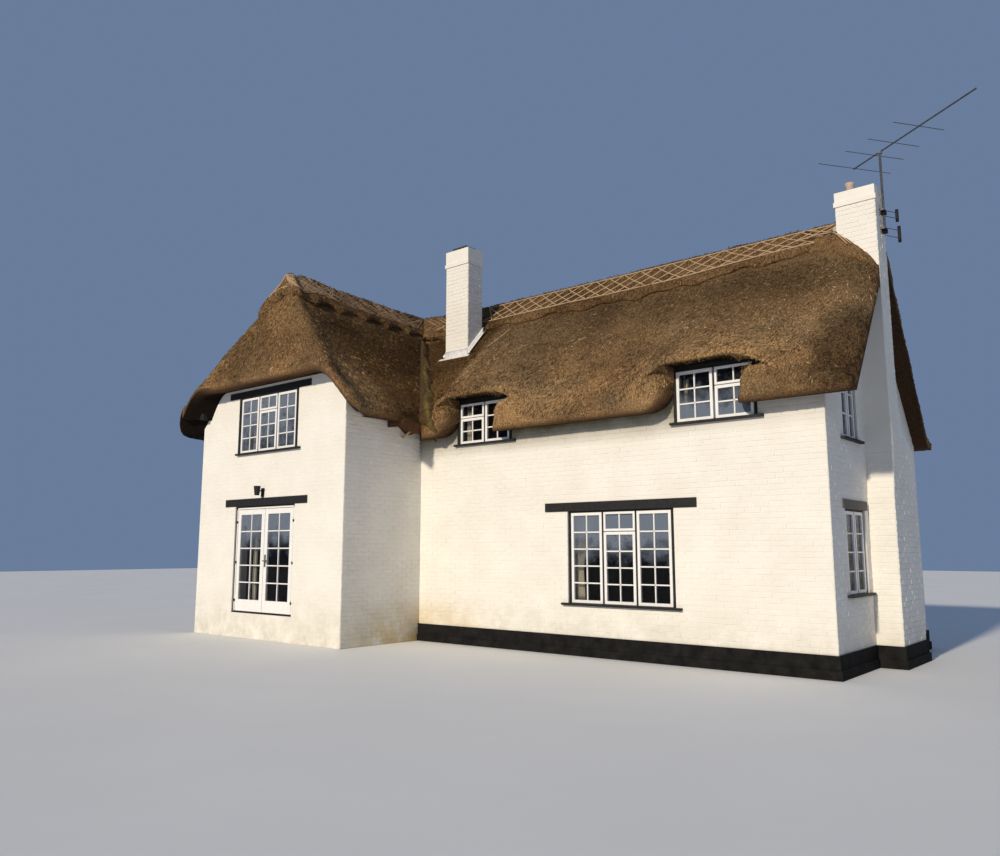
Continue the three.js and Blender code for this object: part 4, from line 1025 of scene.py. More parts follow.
def ridge_cap(name, halves, feet, replaces, raised, outs=(0.0, 0.0)):
    """The saddle of reed over two halves, with its loose ends."""
    (over_front, under_front), (over_back, under_back) = (cap_line(*row) for row in zip(halves, feet, outs))
    ring, top_count, down = chains(over_front, over_back, under_front, under_back)
    peak = len(over_front) - 1
    steps = np.linalg.norm(np.diff(ring[:, (peak, (peak + 1) // 2)], axis=0), axis=2).max(axis=1)
    along = np.concatenate([[0], np.cumsum(steps)])
    flat = ring.reshape(-1, 3)
    rough = (noise(flat + 3, 0.05) * 0.6 + noise(flat + 9, 0.16)).reshape(ring.shape[:2])
    rough[:, top_count:] = 0
    ring = ring + (rough * 0.014 + np.reshape(raised, (-1, 1)))[..., None] * np.array([0, 0, 1.0])
    uv = np.column_stack([np.repeat(along, ring.shape[1]), down.ravel()])
    make(name, ring.reshape(-1, 3), ring_faces(ring, top_count), RIDGE_REED, "ridge", replaces, uv=uv)
    over, rows = ring[:, :top_count], np.arange(2, top_count - 3)
    reed_ends(f"{name}_loose_ends", over, skin_normals(over, peak // 2), peak, rows, 41)


class Laid:
    """Points on a cap by metres along its middle and by share of its width from foot to ridge."""

    SHARES = np.linspace(0, 1, 31)

    def __init__(self, half, foot, raised, out=0.0):
        self.grid = np.stack([half.surface(foot + (1 - foot) * u) + out for u in self.SHARES], axis=1)
        self.grid[..., 2] += CAP_THICK + 0.006 + np.reshape(raised, (-1, 1)) + crown(self.SHARES)
        self.along = lengths_along(self.grid[:, 15])
        self.length = self.along[-1]

    def point(self, along, share):
        row = np.interp(along, self.along, np.arange(len(self.along)))
        column = np.interp(share, self.SHARES, np.arange(len(self.SHARES)))
        r = np.minimum(np.floor(row).astype(int), len(self.along) - 2)
        c = np.minimum(np.floor(column).astype(int), len(self.SHARES) - 2)
        a, b = (row - r)[:, None], (column - c)[:, None]
        low = between(self.grid[r, c], self.grid[r + 1, c], a)
        high = between(self.grid[r, c + 1], self.grid[r + 1, c + 1], a)
        return between(low, high, b)

    def rod(self, start, end, steps, radius=HAZEL_RADIUS, bow=0.0):
        t = np.linspace(0, 1, steps)
        along = between(start[0], end[0], t) + bow * np.sin(math.pi * t)
        return rod_mesh(self.point(along, between(start[1], end[1], t)), radius, 5)


def hazel_work(name, laid, seed, jitter, span, spacing=DIAMOND, material=None, rails=True):
    """Rails along the cap, with rods crossed into diamonds between them."""
    first, last = span
    pick = np.random.default_rng(seed)
    rods = [laid.rod((first, share), (last, share), 90, 0.013) for share in (RAIL_LOW, RAIL_HIGH) if rails]
    for c in np.arange(first, last, spacing):
        for lean in (-1, 1):
            shift, tilt = jitter * pick.normal(size=2)
            start = np.clip(c + shift, first, last)
            end = np.clip(c + lean * DIAMOND * 2 * (1 + tilt) + shift, first, last)
            if abs(end - start) > DIAMOND / 2:
                bow = jitter * pick.normal() * 0.5
                rods.append(laid.rod((start, RAIL_LOW - 0.02), (end, RAIL_HIGH + 0.025), 7, bow=bow))
    make(name, *gather(rods), material or HAZEL, "ridge")


def scallops(half, share, depth, wide, seed):
    """A cap's wavy lower edge, as scallops about so wide along the slope."""
    run = lengths_along(half.surface(share))
    return depth * (np.abs(np.sin(run * math.pi / wide + seed)) - 0.5)


def hip_bulge(half):
    """How far a wing cap stands out in front of the hip, as a shift for each station."""
    near = 1 - smooth((half.eave[:, 1] - HIP_Y) / 1.2)
    away = half.eave - half.ridge[:, :2]
    away /= np.linalg.norm(away, axis=1)[:, None]
    return np.column_stack([away * HIP_BULGE * near[:, None], np.zeros(len(near))])


def make_main_ridge():
    run = places[:, 1] - RIDGE_X
    wave = 0.016 * np.sin(run * 5.1) + 0.01 * np.sin(run * 11.3 + 1)
    foot = CAP_FOOT + 0.05 * smooth((run + RIDGE_X + 3.2) / 2.4)
    raised = 0.09 * (1 - smooth(run / 1.3))
    ridge_cap("main_ridge_cap", (main_front, main_back), (foot + wave, foot - wave), ("main_ridge",), raised)
    for side, half, seed, end in (("front", main_front, 3, 0.6), ("back", main_back, 4, 0.12)):
        laid = Laid(half, foot, raised)
        hazel_work(f"main_hazel_{side}", laid, seed, 0.012, (1.8, laid.length - end))
        hazel_work(f"main_hazel_{side}_old", laid, seed + 6, 0.1, (0.05, 1.5), 0.16, OLD_HAZEL, False)


def make_wing_ridge():
    halves = wing_right, wing_left
    right_wave, left_wave = (scallops(half, 0.8, 0.045, 0.62, 1) for half in halves)
    right_wave[-1] = left_wave[-1] = (right_wave[-1] + left_wave[-1]) / 2
    left_foot = WING_CAP_FOOT - 0.075 * (1 - smooth((from_corner - 0.2) / 3.0))
    round_front = smooth(1 - (wing_right.eave[:, 1] - HIP_Y) / 0.3)
    front = round_front * (RIDGE_X + HALF_SPREAD - wing_right.eave[:, 0])
    right_foot = WING_CAP_FOOT + (left_foot[-1] - WING_CAP_FOOT) * smooth(front / HALF_SPREAD)
    outs = [hip_bulge(half) for half in halves]
    behind = wing_right.ridge[:, 1] - APEX_Y
    raised = 0.06 * np.exp(-(((behind - 0.45) / 0.4) ** 2)) - 0.03 * (1 - smooth(behind / 0.3))
    feet = right_foot + right_wave, left_foot + left_wave
    ridge_cap("wing_ridge_cap", halves, feet, ("wing_ridge",), raised, outs)
    for k, (side, foot) in enumerate((("right", right_foot), ("left", left_foot))):
        laid, seed = Laid(halves[k], foot, raised, outs[k]), 21 + k
        hazel_work(f"wing_hazel_{side}_hip", laid, seed + 40, 0.07, (laid.length - 1.5, laid.length), 0.11)
        for layer, jitter in enumerate((0.05, 0.1, 0.16)):
            name, span, rails = f"wing_hazel_{side}_{layer}", (0.02, laid.length), layer == 0
            hazel_work(name, laid, seed + 5 * layer, jitter, span, 0.24, OLD_HAZEL, rails)


make_main_ridge()
make_wing_ridge()

# The valley, the leadwork and the reed round the chimneys


def main_slope(x, y):
    """Height of the main range's front slope."""
    share = (y + EAVE_OUT * 5 / 6) / (RIDGE_Y + EAVE_OUT * 5 / 6)
    return between(MAIN_EAVE + NOSE, MAIN_RIDGE, share) - roll_drop(x, y)


def along_line(line, distance):
    """The point of a line at a distance from its start."""
    return np.array([np.interp(distance, lengths_along(line), axis) for axis in line.T])


def roughened(grid, size, depth, seed):
    flat = grid.reshape(-1, 3)
    lift = noise(flat + seed, size) * depth + noise(flat + seed + 7, size / 3) * depth / 2
    return grid + lift.reshape(grid.shape[:2])[..., None] * np.array([0.3, -0.6, 0.8])


VALLEY_LEFT, VALLEY_RIGHT, VALLEY_TOP = 0.06, 0.34, 0.77
VALLEY_FILL, VALLEY_DOWN = np.array([0, -0.03, 0.055]), np.array([-0.03, 0.05, -0.06])
SLOPE_ROD = (-6.85, 1.16, 5.49), (-6.5, 1.6, 5.965)


def make_valley():
    """Moss and loose reed in the valley between the roofs, from the foot of the caps down over the eave."""
    steps = np.linspace(0.02, VALLEY_TOP, 70)
    grid, moss = [], []
    s = np.linspace(0, 1, 17)
    hump = (1 - (2 * s - 1) ** 2)[:, None]
    for k, (left, right) in enumerate(zip(wing_right.outer(steps), main_front.outer(steps))):
        up = max(0, k - FRONT_ROWS) / len(steps)
        uneven = 1 + 0.12 * math.sin(k * 0.4) + 0.05 * math.sin(k * 1.7)
        start = along_line(left, VALLEY_LEFT * uneven)
        end = along_line(right, VALLEY_RIGHT * (1 - 0.5 * up) * uneven)
        grid.append(between(start, end, s[:, None]) + VALLEY_FILL * hump)
        spine = np.clip(1 - np.abs(s - 0.62 - 0.12 * math.sin(k * 0.21)) / 0.22, 0, 1)
        moss.append(spine * (1 - smooth((up - 0.6) / 0.3)))
    grid = roughened(np.array(grid), 0.07, 0.02, 2)
    moss = np.tile(np.array(moss)[:, ::-1].ravel(), 2)
    make("valley_moss", *slab_mesh(grid[:, ::-1], VALLEY_DOWN), MOSS, "thatch", values={"moss": moss})
    make("slope_rod", *rod_mesh(straight(*SLOPE_ROD, 5), HAZEL_RADIUS, 5), HAZEL, "ridge")


# the lead lies this far over the slope
LEAD_LIFT = 0.04
# the apron from its foot up: distance from the stack's face, and rise
APRON_ROWS = ((-0.06, 0.01), (-0.045, 0.012), (-0.03, 0.03), (-0.012, 0.05), (-0.008, 0.15))
# a side strip from the stack outwards: distance and rise
STRIP_SECTION = ((0.008, 0.13), (0.012, 0.04), (0.04, 0.02), (0.06, 0.035), (0.07, 0.055))


def make_leadwork():
    """A lead apron under the valley stack's face and a strip up each side, turned up at its outer edge."""
    (x0, x1), (y0, y1) = VALLEY_STACK["x"], VALLEY_STACK["y"]

    def slope(y):
        return main_slope(-3.0, y) + LEAD_LIFT

    # x of each of the apron's columns, and its share of the rise
    columns = [(x0 - 0.16, 0), (x0 - 0.08, 0.05), (x0 - 0.01, 0.1), (x0, 1)]
    columns += [(x1, 1), (x1 + 0.01, 0.1), (x1 + 0.07, 0)]
    apron = [[(x, y0 + out, slope(y0 + min(out, -0.03)) + between(0.01, rise, up)) for x, up in columns]
             for out, rise in APRON_ROWS]
    meshes = [slab_mesh(np.array(apron), np.array([0, 0.01, -0.012]))]
    for x, side in ((x0, -1), (x1, 1)):
        strip = np.array([[(x + side * out, y, slope(y) + z) for out, z in STRIP_SECTION]
                          for y in np.linspace(y0 - 0.01, y1 + 0.04, 12)])
        meshes.append(slab_mesh(strip[:, ::side], np.array([0, 0, -0.012])))
    make("valley_leadwork", *gather(meshes), LEAD, "lead", ("valley_flashing",))


# the collar's lower edge and its crest at the gable stack, as lines over x
COLLAR_X, COLLAR_TOP = (-0.7, 0.34), 6.6
COLLAR_FOOT = (-0.7, -0.33, -0.1, 0.12, 0.26, 0.34), (1.84, 1.78, 1.6, 1.57, 1.62, 1.68)
COLLAR_CREST = (-0.7, -0.24, -0.02, 0.19, 0.34), (6.5, 6.42, 6.2, 5.98, 5.75)
COLLAR_RODS = (
    ((-0.95, 1.9, 6.475), (-0.6, 1.93, 6.52), (-0.35, 1.86, 6.47), (-0.2, 1.69, 6.36), (-0.02, 1.67, 6.16)),
    ((-0.85, 2.16, 6.72), (-0.5, 1.98, 6.56), (-0.24, 1.69, 6.385), (-0.06, 1.63, 6.15)),
    ((-0.75, 1.9, 6.48), (-0.55, 2.03, 6.6), (-0.36, 2.14, 6.71)),
)
FILLET_SECTION = ((0.2, 0.12), (0.13, 0.15), (0.06, 0.19), (-0.01, 0.25))


def collar_rod(line):
    """A rod through listed points, in even steps from each to the next."""
    t = np.linspace(0, 1, 12)
    axes = [np.interp(t, np.linspace(0, 1, len(line)), axis) for axis in np.array(line).T]
    return rod_mesh(np.column_stack(axes), HAZEL_RADIUS, 5)


def make_collar():
    """Reed swept over the verge against the foot of the gable stack, and its rods."""
    front, left = STACK["y"][0] - 0.002, STACK["x"][0]
    grid = []
    for x in np.linspace(*COLLAR_X, 40):
        edge = np.interp(x, *COLLAR_FOOT) + 0.01 * math.sin(x * 31)
        foot, crest = main_slope(x, edge), np.interp(x, *COLLAR_CREST)
        back = max(front, np.interp(x, (COLLAR_X[0], left - 0.03), (2.02, front)))
        rim = [(x, edge + 0.03, foot), (x, edge - 0.008, foot + 0.03), (x, edge - 0.008, foot + 0.055)]
        up = [(x, between(edge, back, u), between(foot + 0.07, crest, u**0.8)) for u in np.linspace(0, 1, 12)]
        grid.append(rim + up)
    grid = roughened(np.array(grid).transpose(1, 0, 2), 0.07, 0.014, 4)
    grid[-1, :, 1] = np.maximum(grid[-1, :, 1], front)
    points, faces = slab_mesh(grid, np.array([0, 0.0, -0.12]))
    uv = np.column_stack([points[:, 0], COLLAR_TOP - points[:, 2]])
    make("stack_collar", points, faces, RIDGE_REED, "ridge", uv=uv)
    make("collar_hazel", *gather([collar_rod(line) for line in COLLAR_RODS]), HAZEL, "ridge")


def make_fillet():
    """Mortar between the gable stack's left face and the thatch, from the stack's front to the ridge."""
    front, left = STACK["y"][0] - 0.002, STACK["x"][0]
    fillet = []
    for y in np.linspace(front + 0.01, RIDGE_Y - 0.02, 9):
        wide, level = between(0.2, 1, (y - front) / 0.46), main_slope(-3.0, y) + 0.012 * math.sin(40 * y)
        fillet.append([(left - out * wide, y, level + up) for out, up in FILLET_SECTION])
    make("stack_fillet", *slab_mesh(np.array(fillet), np.array([0, 0, -0.1])), STONE, "stone")


def make_corner_reed():
    """Reed packed under the wing's eave in the inner corner, held by a lath."""
    xs = np.linspace(INNER_X + 0.004, VALLEY_X - 0.01, 7)
    ys = np.linspace(-0.85, -0.02, 16)
    grid = np.array([[(x, y, 3.94 - 0.05 * math.sin(12 * y)) for x in xs] for y in ys])
    low = np.array([[(0, 0, -0.14 - 0.12 * (y - ys[0])) for _ in xs] for y in ys])
    make("corner_reed", *slab_mesh(roughened(grid, 0.1, 0.015, 5), low), BUTT_REED, "thatch")
    lath = straight((INNER_X + 0.02, -0.5, 3.62), (VALLEY_X - 0.02, -0.4, 3.86), 5)
    make("corner_lath", *rod_mesh(lath, 0.022, 4), HAZEL, "ridge", shaded=False)


def make_eave_bracket():
    bracket = (LEFT_X + 0.02, LEFT_X + 0.2), (WING_Y - 0.17, WING_Y - 0.001), (4.2, 4.33)
    make("wing_eave_bracket", *box_mesh([bracket], 0.01), BLACK, "black", shaded=False)


POT_AT = np.array([-0.06, 1.945, STACK["top"] + 0.0006])
# radius and height round the pot's section, from inside its foot up the outside and down the inside
POT_PROFILE = [(0.001, 0), (0.074, 0), (0.058, 0.14), (0.07, 0.155), (0.07, 0.195), (0.05, 0.195)]
POT_PROFILE += [(0.045, 0.02), (0.001, 0.02)]
POT_SIDES = 20


def make_pot():
    """A small clay pot on the gable stack, with a thicker rim."""
    turn = np.arange(POT_SIDES) * 2 * math.pi / POT_SIDES
    points = [POT_AT + (r * math.cos(a), r * math.sin(a), z) for r, z in POT_PROFILE for a in turn]
    index = np.arange(len(points)).reshape(-1, POT_SIDES)
    make("gable_clay_pot", points, tube_faces(np.vstack([index, index[:1]])), CLAY, "pot", ("gable_pot",))


AERIAL_AT = 0.395, 1.96
# the two short aerials: height, reach from the mast, and half their length
AERIALS = (6.62, 0.23, 0.095), (6.33, 0.25, 0.125)


def make_aerial_grips():
    """Dark sleeves on the two short aerials, and the clamps that hold them to the mast."""
    x, y = AERIAL_AT
    meshes = []
    for level, reach, half in AERIALS:
        bar = x + 0.55 * reach, y + reach
        meshes.append(rod_mesh(straight((*bar, level - half), (*bar, level + half), 4), 0.024, 8))
        clamp = (x - 0.035, x + 0.035), (y - 0.035, y + 0.035), (level - 0.03, level + 0.04)
        meshes.append(box_mesh([clamp], 0.006))
    make("aerial_grips", *gather(meshes), BLACK, "metal")


make_pot()
make_aerial_grips()
make_valley()
make_eave_bracket()
make_leadwork()
make_collar()
make_fillet()
make_corner_reed()

# Windows

FRAME_IN, FRAME_DEEP = 0.03, 0.07
SURROUND = 0.028
WINDOW_HEAD = 0.06
CASEMENT_INSET = 0.028
SILL_THICK, SILL_OUT, SILL_PAST = 0.035, 0.06, 0.13
CASEMENT_FRONT, FLUSH_FRONT, CASEMENT_DEEP = 0.018, -0.008, 0.045
CASEMENT_STILE, BAR, BLACK_GAP, LIGHT_GAP = 0.045, 0.021, 0.032, 0.012

# name, wall, span, z of sill and of lintel, casements as (columns, rows, top light rows)
WINDOWS = (
    ("front_lower", "main", (-4.06, -2.249), (0.792, 2.212), ((2, 5, 0), (2, 4, 1), (2, 5, 0))),
    ("front_upper_left", "main", (-6.379, -5.252), (3.466, 4.18), ((2, 2, 1), (2, 3, 0))),
    ("front_upper_right", "main", (-2.087, -0.939), (3.442, 4.17), ((2, 3, 0), (2, 2, 1))),
    ("wing_upper", "wing", (-10.45, -8.73), (3.439, 4.524), ((2, 4, 0), (2, 3, 1), (2, 4, 0))),
    ("gable_lower", "gable", (0.6, 1.41), (1.02, 2.155), ((1, 4, 0), (1, 4, 0))),
    ("gable_upper", "gable", (0.7, 1.31), (3.13, 4.15), ((1, 3, 0), (1, 3, 0))),
    ("back_lower_1", "back", (2.249, 4.06), (0.792, 2.212), ((2, 5, 0), (2, 4, 1), (2, 5, 0))),
    ("back_lower_2", "back", (8.73, 10.45), (0.792, 2.212), ((2, 5, 0), (2, 4, 1), (2, 5, 0))),
    ("back_upper_1", "back", (0.939, 2.087), (3.15, 3.92), ((2, 3, 0), (2, 3, 0))),
    ("back_upper_2", "back", (5.252, 6.379), (3.15, 3.92), ((2, 3, 0), (2, 3, 0))),
    ("left_lower", "left", (-2.2, -1.052), (0.992, 2.212), ((2, 4, 0), (2, 4, 0))),
    ("left_upper", "left", (-2.2, -1.052), (3.08, 3.64), ((2, 2, 0), (2, 2, 0))),
)
LINTELS = (
    ("main", (-4.519, -1.851), (2.212, 2.35)),
    ("wing", (-10.889, -8.344), (4.524, 4.647)),
    ("wing", (-10.886, -8.358), (2.425, 2.563)),
    ("gable", (0.477, 1.529), (2.155, 2.281)),
)
# casements flush with the wall: their span and top, the outer edges of the black posts, and the head's top;
# over the front windows the black head reaches up to the brow and is partly painted shade
FLUSH = {
    "front_upper_left": ((-6.385, -5.268), 4.18, (-6.46, -5.212), 4.3),
    "front_upper_right": ((-2.112, -0.945), 4.19, (-2.162, -0.897), 4.3),
    "wing_upper": ((-10.478, -8.758), 4.496, (-10.56, -8.702), 4.524),
}
# how much painted reflection the panes have at the foot and at the head of a window
PAINTED_REFLECTION = {
    "front_upper_left": (0.3, 0.3),
    "front_upper_right": (0.85, 0.3),
    "wing_upper": (0.55, 0.8),
    "gable_lower": (0.4, 0.6),
    "gable_upper": (0.4, 0.6),
}


def make_boxes(name, boxes, material, slot, bevel=0.002, wall="", **more):
    """A sharp-edged piece of boxes, in the coordinates of a wall if one is named."""
    mesh = box_mesh(boxes, bevel)
    make(name, *(placed(mesh, wall) if wall else mesh), material, slot, shaded=False, **more)


def light(x, z, y, stile, columns, rows):
    """A glazed light: its frame, and bars between its panes."""
    inner_x, inner_z = widened(x, -stile), widened(z, -stile)
    boxes = [((x[0], inner_x[0]), y, z), ((inner_x[1], x[1]), y, z)]
    boxes += [(inner_x, y, (z[0], inner_z[0])), (inner_x, y, (inner_z[1], z[1]))]
    bar_y = widened(y, -0.008)
    for i in range(1, columns):
        c = between(*inner_x, i / columns)
        boxes.append((widened((c, c), BAR / 2), bar_y, inner_z))
    for i in range(1, rows):
        c = between(*inner_z, i / rows)
        boxes.append((inner_x, bar_y, widened((c, c), BAR / 2)))
    return boxes


def casement_boxes(span, z, front, panels):
    """A window's casements side by side, some with a top light."""
    count, boxes, depth = len(panels), [], (front, front + CASEMENT_DEEP)
    edges = [between(*span, i / count) for i in range(count + 1)]
    for i, (columns, rows, top_rows) in enumerate(panels):
        x = edges[i] + (BLACK_GAP / 2 if i else 0), edges[i + 1] - (BLACK_GAP / 2 if i + 1 < count else 0)
        split = between(*z, 1 - 1.05 * top_rows / (rows + top_rows)) if top_rows else z[1] + LIGHT_GAP
        boxes += light(x, (z[0], split - LIGHT_GAP), depth, CASEMENT_STILE, columns, rows)
        if top_rows:
            boxes += light(x, (split, z[1]), depth, CASEMENT_STILE * 0.8, columns, top_rows)
    return boxes


def pane_uv(points, painted_reflection):
    """Across a pane, and its painted reflection at the foot and at the head."""
    low, high = points.min(axis=0), points.max(axis=0)
    share = (points - low) / (high - low)
    return np.column_stack([share[:, 0], between(*painted_reflection, share[:, 2])])


def make_surround_and_shade_head(name, wall, z):
    """Black posts and a black head round casements that are flush with the wall; over the front windows the
    head reaches up under the brow as painted shade.
    """
    clear, top, posts, head = FLUSH[name]
    deep = (-0.013, 0.03)
    sides = (posts[0], clear[0]), (clear[1], posts[1])
    boxes = [(x, deep, (z[0], top)) for x in sides]
    make_boxes(f"{name}_surround", [*boxes, (posts, deep, (top, head))], BLACK, "black", wall=wall)


def make_panes(name, wall, clear, z, y, replaces):
    points, faces = box_mesh([(widened(clear, -0.012), (y, y + 0.004), widened(z, -0.02))])
    uv = pane_uv(points, PAINTED_REFLECTION.get(name, (0.0, 1.0)))
    make(f"{name}_panes", *placed((points, faces), wall), GLASS, "glass", replaces, uv=uv, shaded=False)


def make_unseen_frame(name, wall, span, z, top, count):
    """Frame, posts and sill of a window that the photograph doesn't show."""
    side, number = name.rsplit("_", 1) if name[-1].isdigit() else (name, "")
    deep = (FRAME_IN, FRAME_IN + FRAME_DEEP)
    wide, clear, low = widened(span, SURROUND), widened(span, -0.02), (z[0] - SILL_THICK, z[0])
    boxes = [((wide[0], clear[0]), deep, (low[0], z[1])), ((clear[1], wide[1]), deep, (low[0], z[1]))]
    boxes += [(clear, deep, (top - 0.01, z[1])), (wide, (-SILL_OUT, deep[1]), low)]
    boxes.append((widened(span, SILL_PAST), (-SILL_OUT, -0.0003), low))
    middles = (between(*span, i / count) for i in range(1, count))
    boxes += [(widened((c, c), 0.03), deep, (z[0], top)) for c in middles]
    node = f"{side}_window_{number}" if number else f"{name}_window"
    make_boxes(f"{name}_frame", boxes, BLACK, "black", wall=wall, replaces=(node,))


def make_windows():
    for name, wall, span, z, panels in WINDOWS:
        clear, top, front = widened(span, -CASEMENT_INSET), z[1] - SURROUND, CASEMENT_FRONT
        if name in FLUSH:
            (clear, top, *_), front = FLUSH[name], FLUSH_FRONT
            make_surround_and_shade_head(name, wall, z)
        casements = casement_boxes(clear, (z[0] + 0.004, top), front, panels)
        make_boxes(f"{name}_casements", casements, WHITE, "white", 0.003, wall)
        seen = wall in ("main", "wing", "gable")
        node = (f"{name}_glass",) if seen else ()
        make_panes(name, wall, clear, (z[0], top), front + CASEMENT_DEEP / 2, node)
        if not seen:
            make_unseen_frame(name, wall, span, z, top, len(panels))


make_windows()

# Curtains inside the reveals: cloth gathered on a rod, some drawn in by a band lower down

CURTAIN_DEEP, CURTAIN_THICK, ROD_RADIUS, ROD_PAST, FOLD_WIDE = 0.16, 0.002, 0.008, 0.1, 0.065
# name, wall, edge and width at the top, width at the band, z of the foot, the band and the rod, cloth's width
CURTAINS = (
    ("front_lower", "main", (-4.04, 0.36), 0.15, (0.82, 1.3, 2.13), 0.65),
    ("front_upper_left", "main", (-6.37, 0.13), 0.1, (3.5, 3.8, 4.1), 0.35),
    ("front_upper_right", "main", (-2.12, 0.13), 0.1, (3.48, 3.8, 4.1), 0.35),
    ("wing_upper", "wing", (-10.3, 0.26), 0.23, (3.47, 3.9, 4.44), 0.5),
    ("door", "wing", (-10.12, 0.13), 0.1, (0.5, 1.2, 2.3), 0.35),
)


def fold_depth(width, cloth, folds):
    """How deep each fold is for the cloth to fill a width."""
    u = np.linspace(0, 1, 400)
    low, high = 0.0, 0.2
    for _ in range(30):
        middle = (low + high) / 2
        wave = middle * np.sin(2 * math.pi * folds * u)
        length = np.hypot(np.diff(wave), width / 399).sum()
        low, high = (middle, high) if length < cloth else (low, middle)
    return middle


def curtain_width(z, wide, drawn, foot, band, top):
    """How wide a curtain hangs at a height: drawn in at its band, and a little wider below it."""
    if z > band:
        return between(drawn, wide, smooth((z - band) / (top - band)))
    return between(drawn * 1.15, drawn, smooth((z - foot) / (band - foot)))


def make_curtains():
    for name, wall, (edge, wide), drawn, (foot, band, top), cloth in CURTAINS:
        folds = round(wide / FOLD_WIDE)
        u = np.linspace(0, 1, folds * 10 + 1)
        rows = []
        for z in np.linspace(foot, top, 15):
            width = curtain_width(z, wide, drawn, foot, band, top)
            wave = fold_depth(width, cloth, folds) * np.sin(2 * math.pi * folds * u)
            rows.append(np.column_stack([edge + width * u, CURTAIN_DEEP + wave, np.full(len(u), z)]))
        mesh = placed(slab_mesh(np.array(rows), np.array([0, CURTAIN_THICK, 0])), wall)
        curtain = make(f"{name}_curtain", *mesh, CLOTH)
        ends = [(x, CURTAIN_DEEP, top + 0.01) for x in widened((edge, edge + wide), ROD_PAST)]
        rod = placed(rod_mesh(straight(*ends, 4), ROD_RADIUS, 8), wall)
        make(f"{name}_curtain_rod", *rod, METAL, "metal")


make_curtains()

# The door's white lining, and the bars of its leaves

DOOR_X, DOOR_TOP = (-10.531, -8.742), 2.425
DOOR_Y = WING_Y + FRAME_IN
DOOR_LINING_DEEP, DOOR_BAR_DEEP = (DOOR_Y - 0.004, DOOR_Y + 0.05), (DOOR_Y + 0.006, DOOR_Y + 0.038)
DOOR_LINING, DOOR_BAR, DOOR_ROWS = 0.03, 0.022, 5


def make_door_lining():
    """White posts and a head in front of the black frame."""
    (low, high), top = DOOR_X, DOOR_TOP - SURROUND
    posts = (low, low + DOOR_LINING), (high - DOOR_LINING, high)
    boxes = [(x, DOOR_LINING_DEEP, (FLOOR_TOP + 0.035, top)) for x in posts]
    head = DOOR_X, DOOR_LINING_DEEP, (top - DOOR_LINING, top)
    make_boxes("door_lining", [*boxes, head], WHITE, "white", 0.003)


def make_door_bars(side):
    """One upright bar and four across on a leaf, over its glass."""
    low, high = (np.array(c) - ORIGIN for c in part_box(f"{side}_door_glass"))
    x, z = (low[0], high[0]), (low[2], high[2])
    middle = between(*x, 0.5)
    boxes = [(widened((middle, middle), DOOR_BAR / 2), DOOR_BAR_DEEP, z)]
    levels = (between(*z, i / DOOR_ROWS) for i in range(1, DOOR_ROWS))
    boxes += [(x, DOOR_BAR_DEEP, widened((c, c), DOOR_BAR / 2)) for c in levels]
    make_boxes(f"{side}_door_bars", boxes, WHITE, "white", 0.003, body=f"{side}_leaf")


make_door_lining()
make_door_bars("left")
make_door_bars("right")

# Brickwork: the faces of the bricks stand a little out of their joints, in courses

BRICK_LONG, COURSE, JOINT, BRICK_SLOPE = 0.2275, 0.075, 0.010, 0.004
BRICK_PROUD, BRICK_TILT, SHORTEST_BRICK = 0.0055, 0.0012, 0.03
BRICK_SIDES = np.array([(0, 3, 2, 1), (4, 5, 6, 7), (0, 1, 5, 4), (1, 2, 6, 5), (2, 3, 7, 6), (3, 0, 4, 7)])
PLINTH_TOP = 0.3
BREAST_Y, BREAST_OUT, SHOULDER, BREAST_WIDE_UNTIL = (1.6, 2.79), 0.361, 3.0, 3.06
# how far the breast's front and rear edges and its face draw in, by height
BREAST_FRONT = (2.36, 2.9, 3.4), (0.0, 0.09, 0.12)
BREAST_REAR = (BREAST_WIDE_UNTIL, 3.38, 3.7, 4.45), (1.19, 0.68, 0.61, 0.57)
BREAST_LEAN = (3.2, 3.8), (0.0, -0.021)


def free_spans(span, blocked):
    """What is left of a span without the blocked ones."""
    low = span[0]
    for a, b in sorted(blocked):
        if a > low:
            yield low, min(a, span[1])
        low = max(low, b)
    if low < span[1]:
        yield low, span[1]


def brick_cells(span, z, holes):
    """Left edge, right edge and foot of each brick between the holes, in stretcher bond."""
    for row in range(round((z[1] - z[0]) / COURSE)):
        level = z[0] + row * COURSE
        blocked = [(a, b) for (a, b), (c, d) in holes if c < level + COURSE - 0.02 and level + 0.02 < d]
        for low, high in free_spans(span, blocked):
            shift = (row % 2) * BRICK_LONG / 2
            joints = shift + BRICK_LONG * (math.floor((low - shift) / BRICK_LONG) + 1 + np.arange(200))
            inner = joints[(joints > low + SHORTEST_BRICK) & (joints < high - SHORTEST_BRICK)]
            edges = [low, *inner, high]
            yield from ((a, b, level) for a, b in zip(edges, edges[1:]) if b - a > SHORTEST_BRICK)


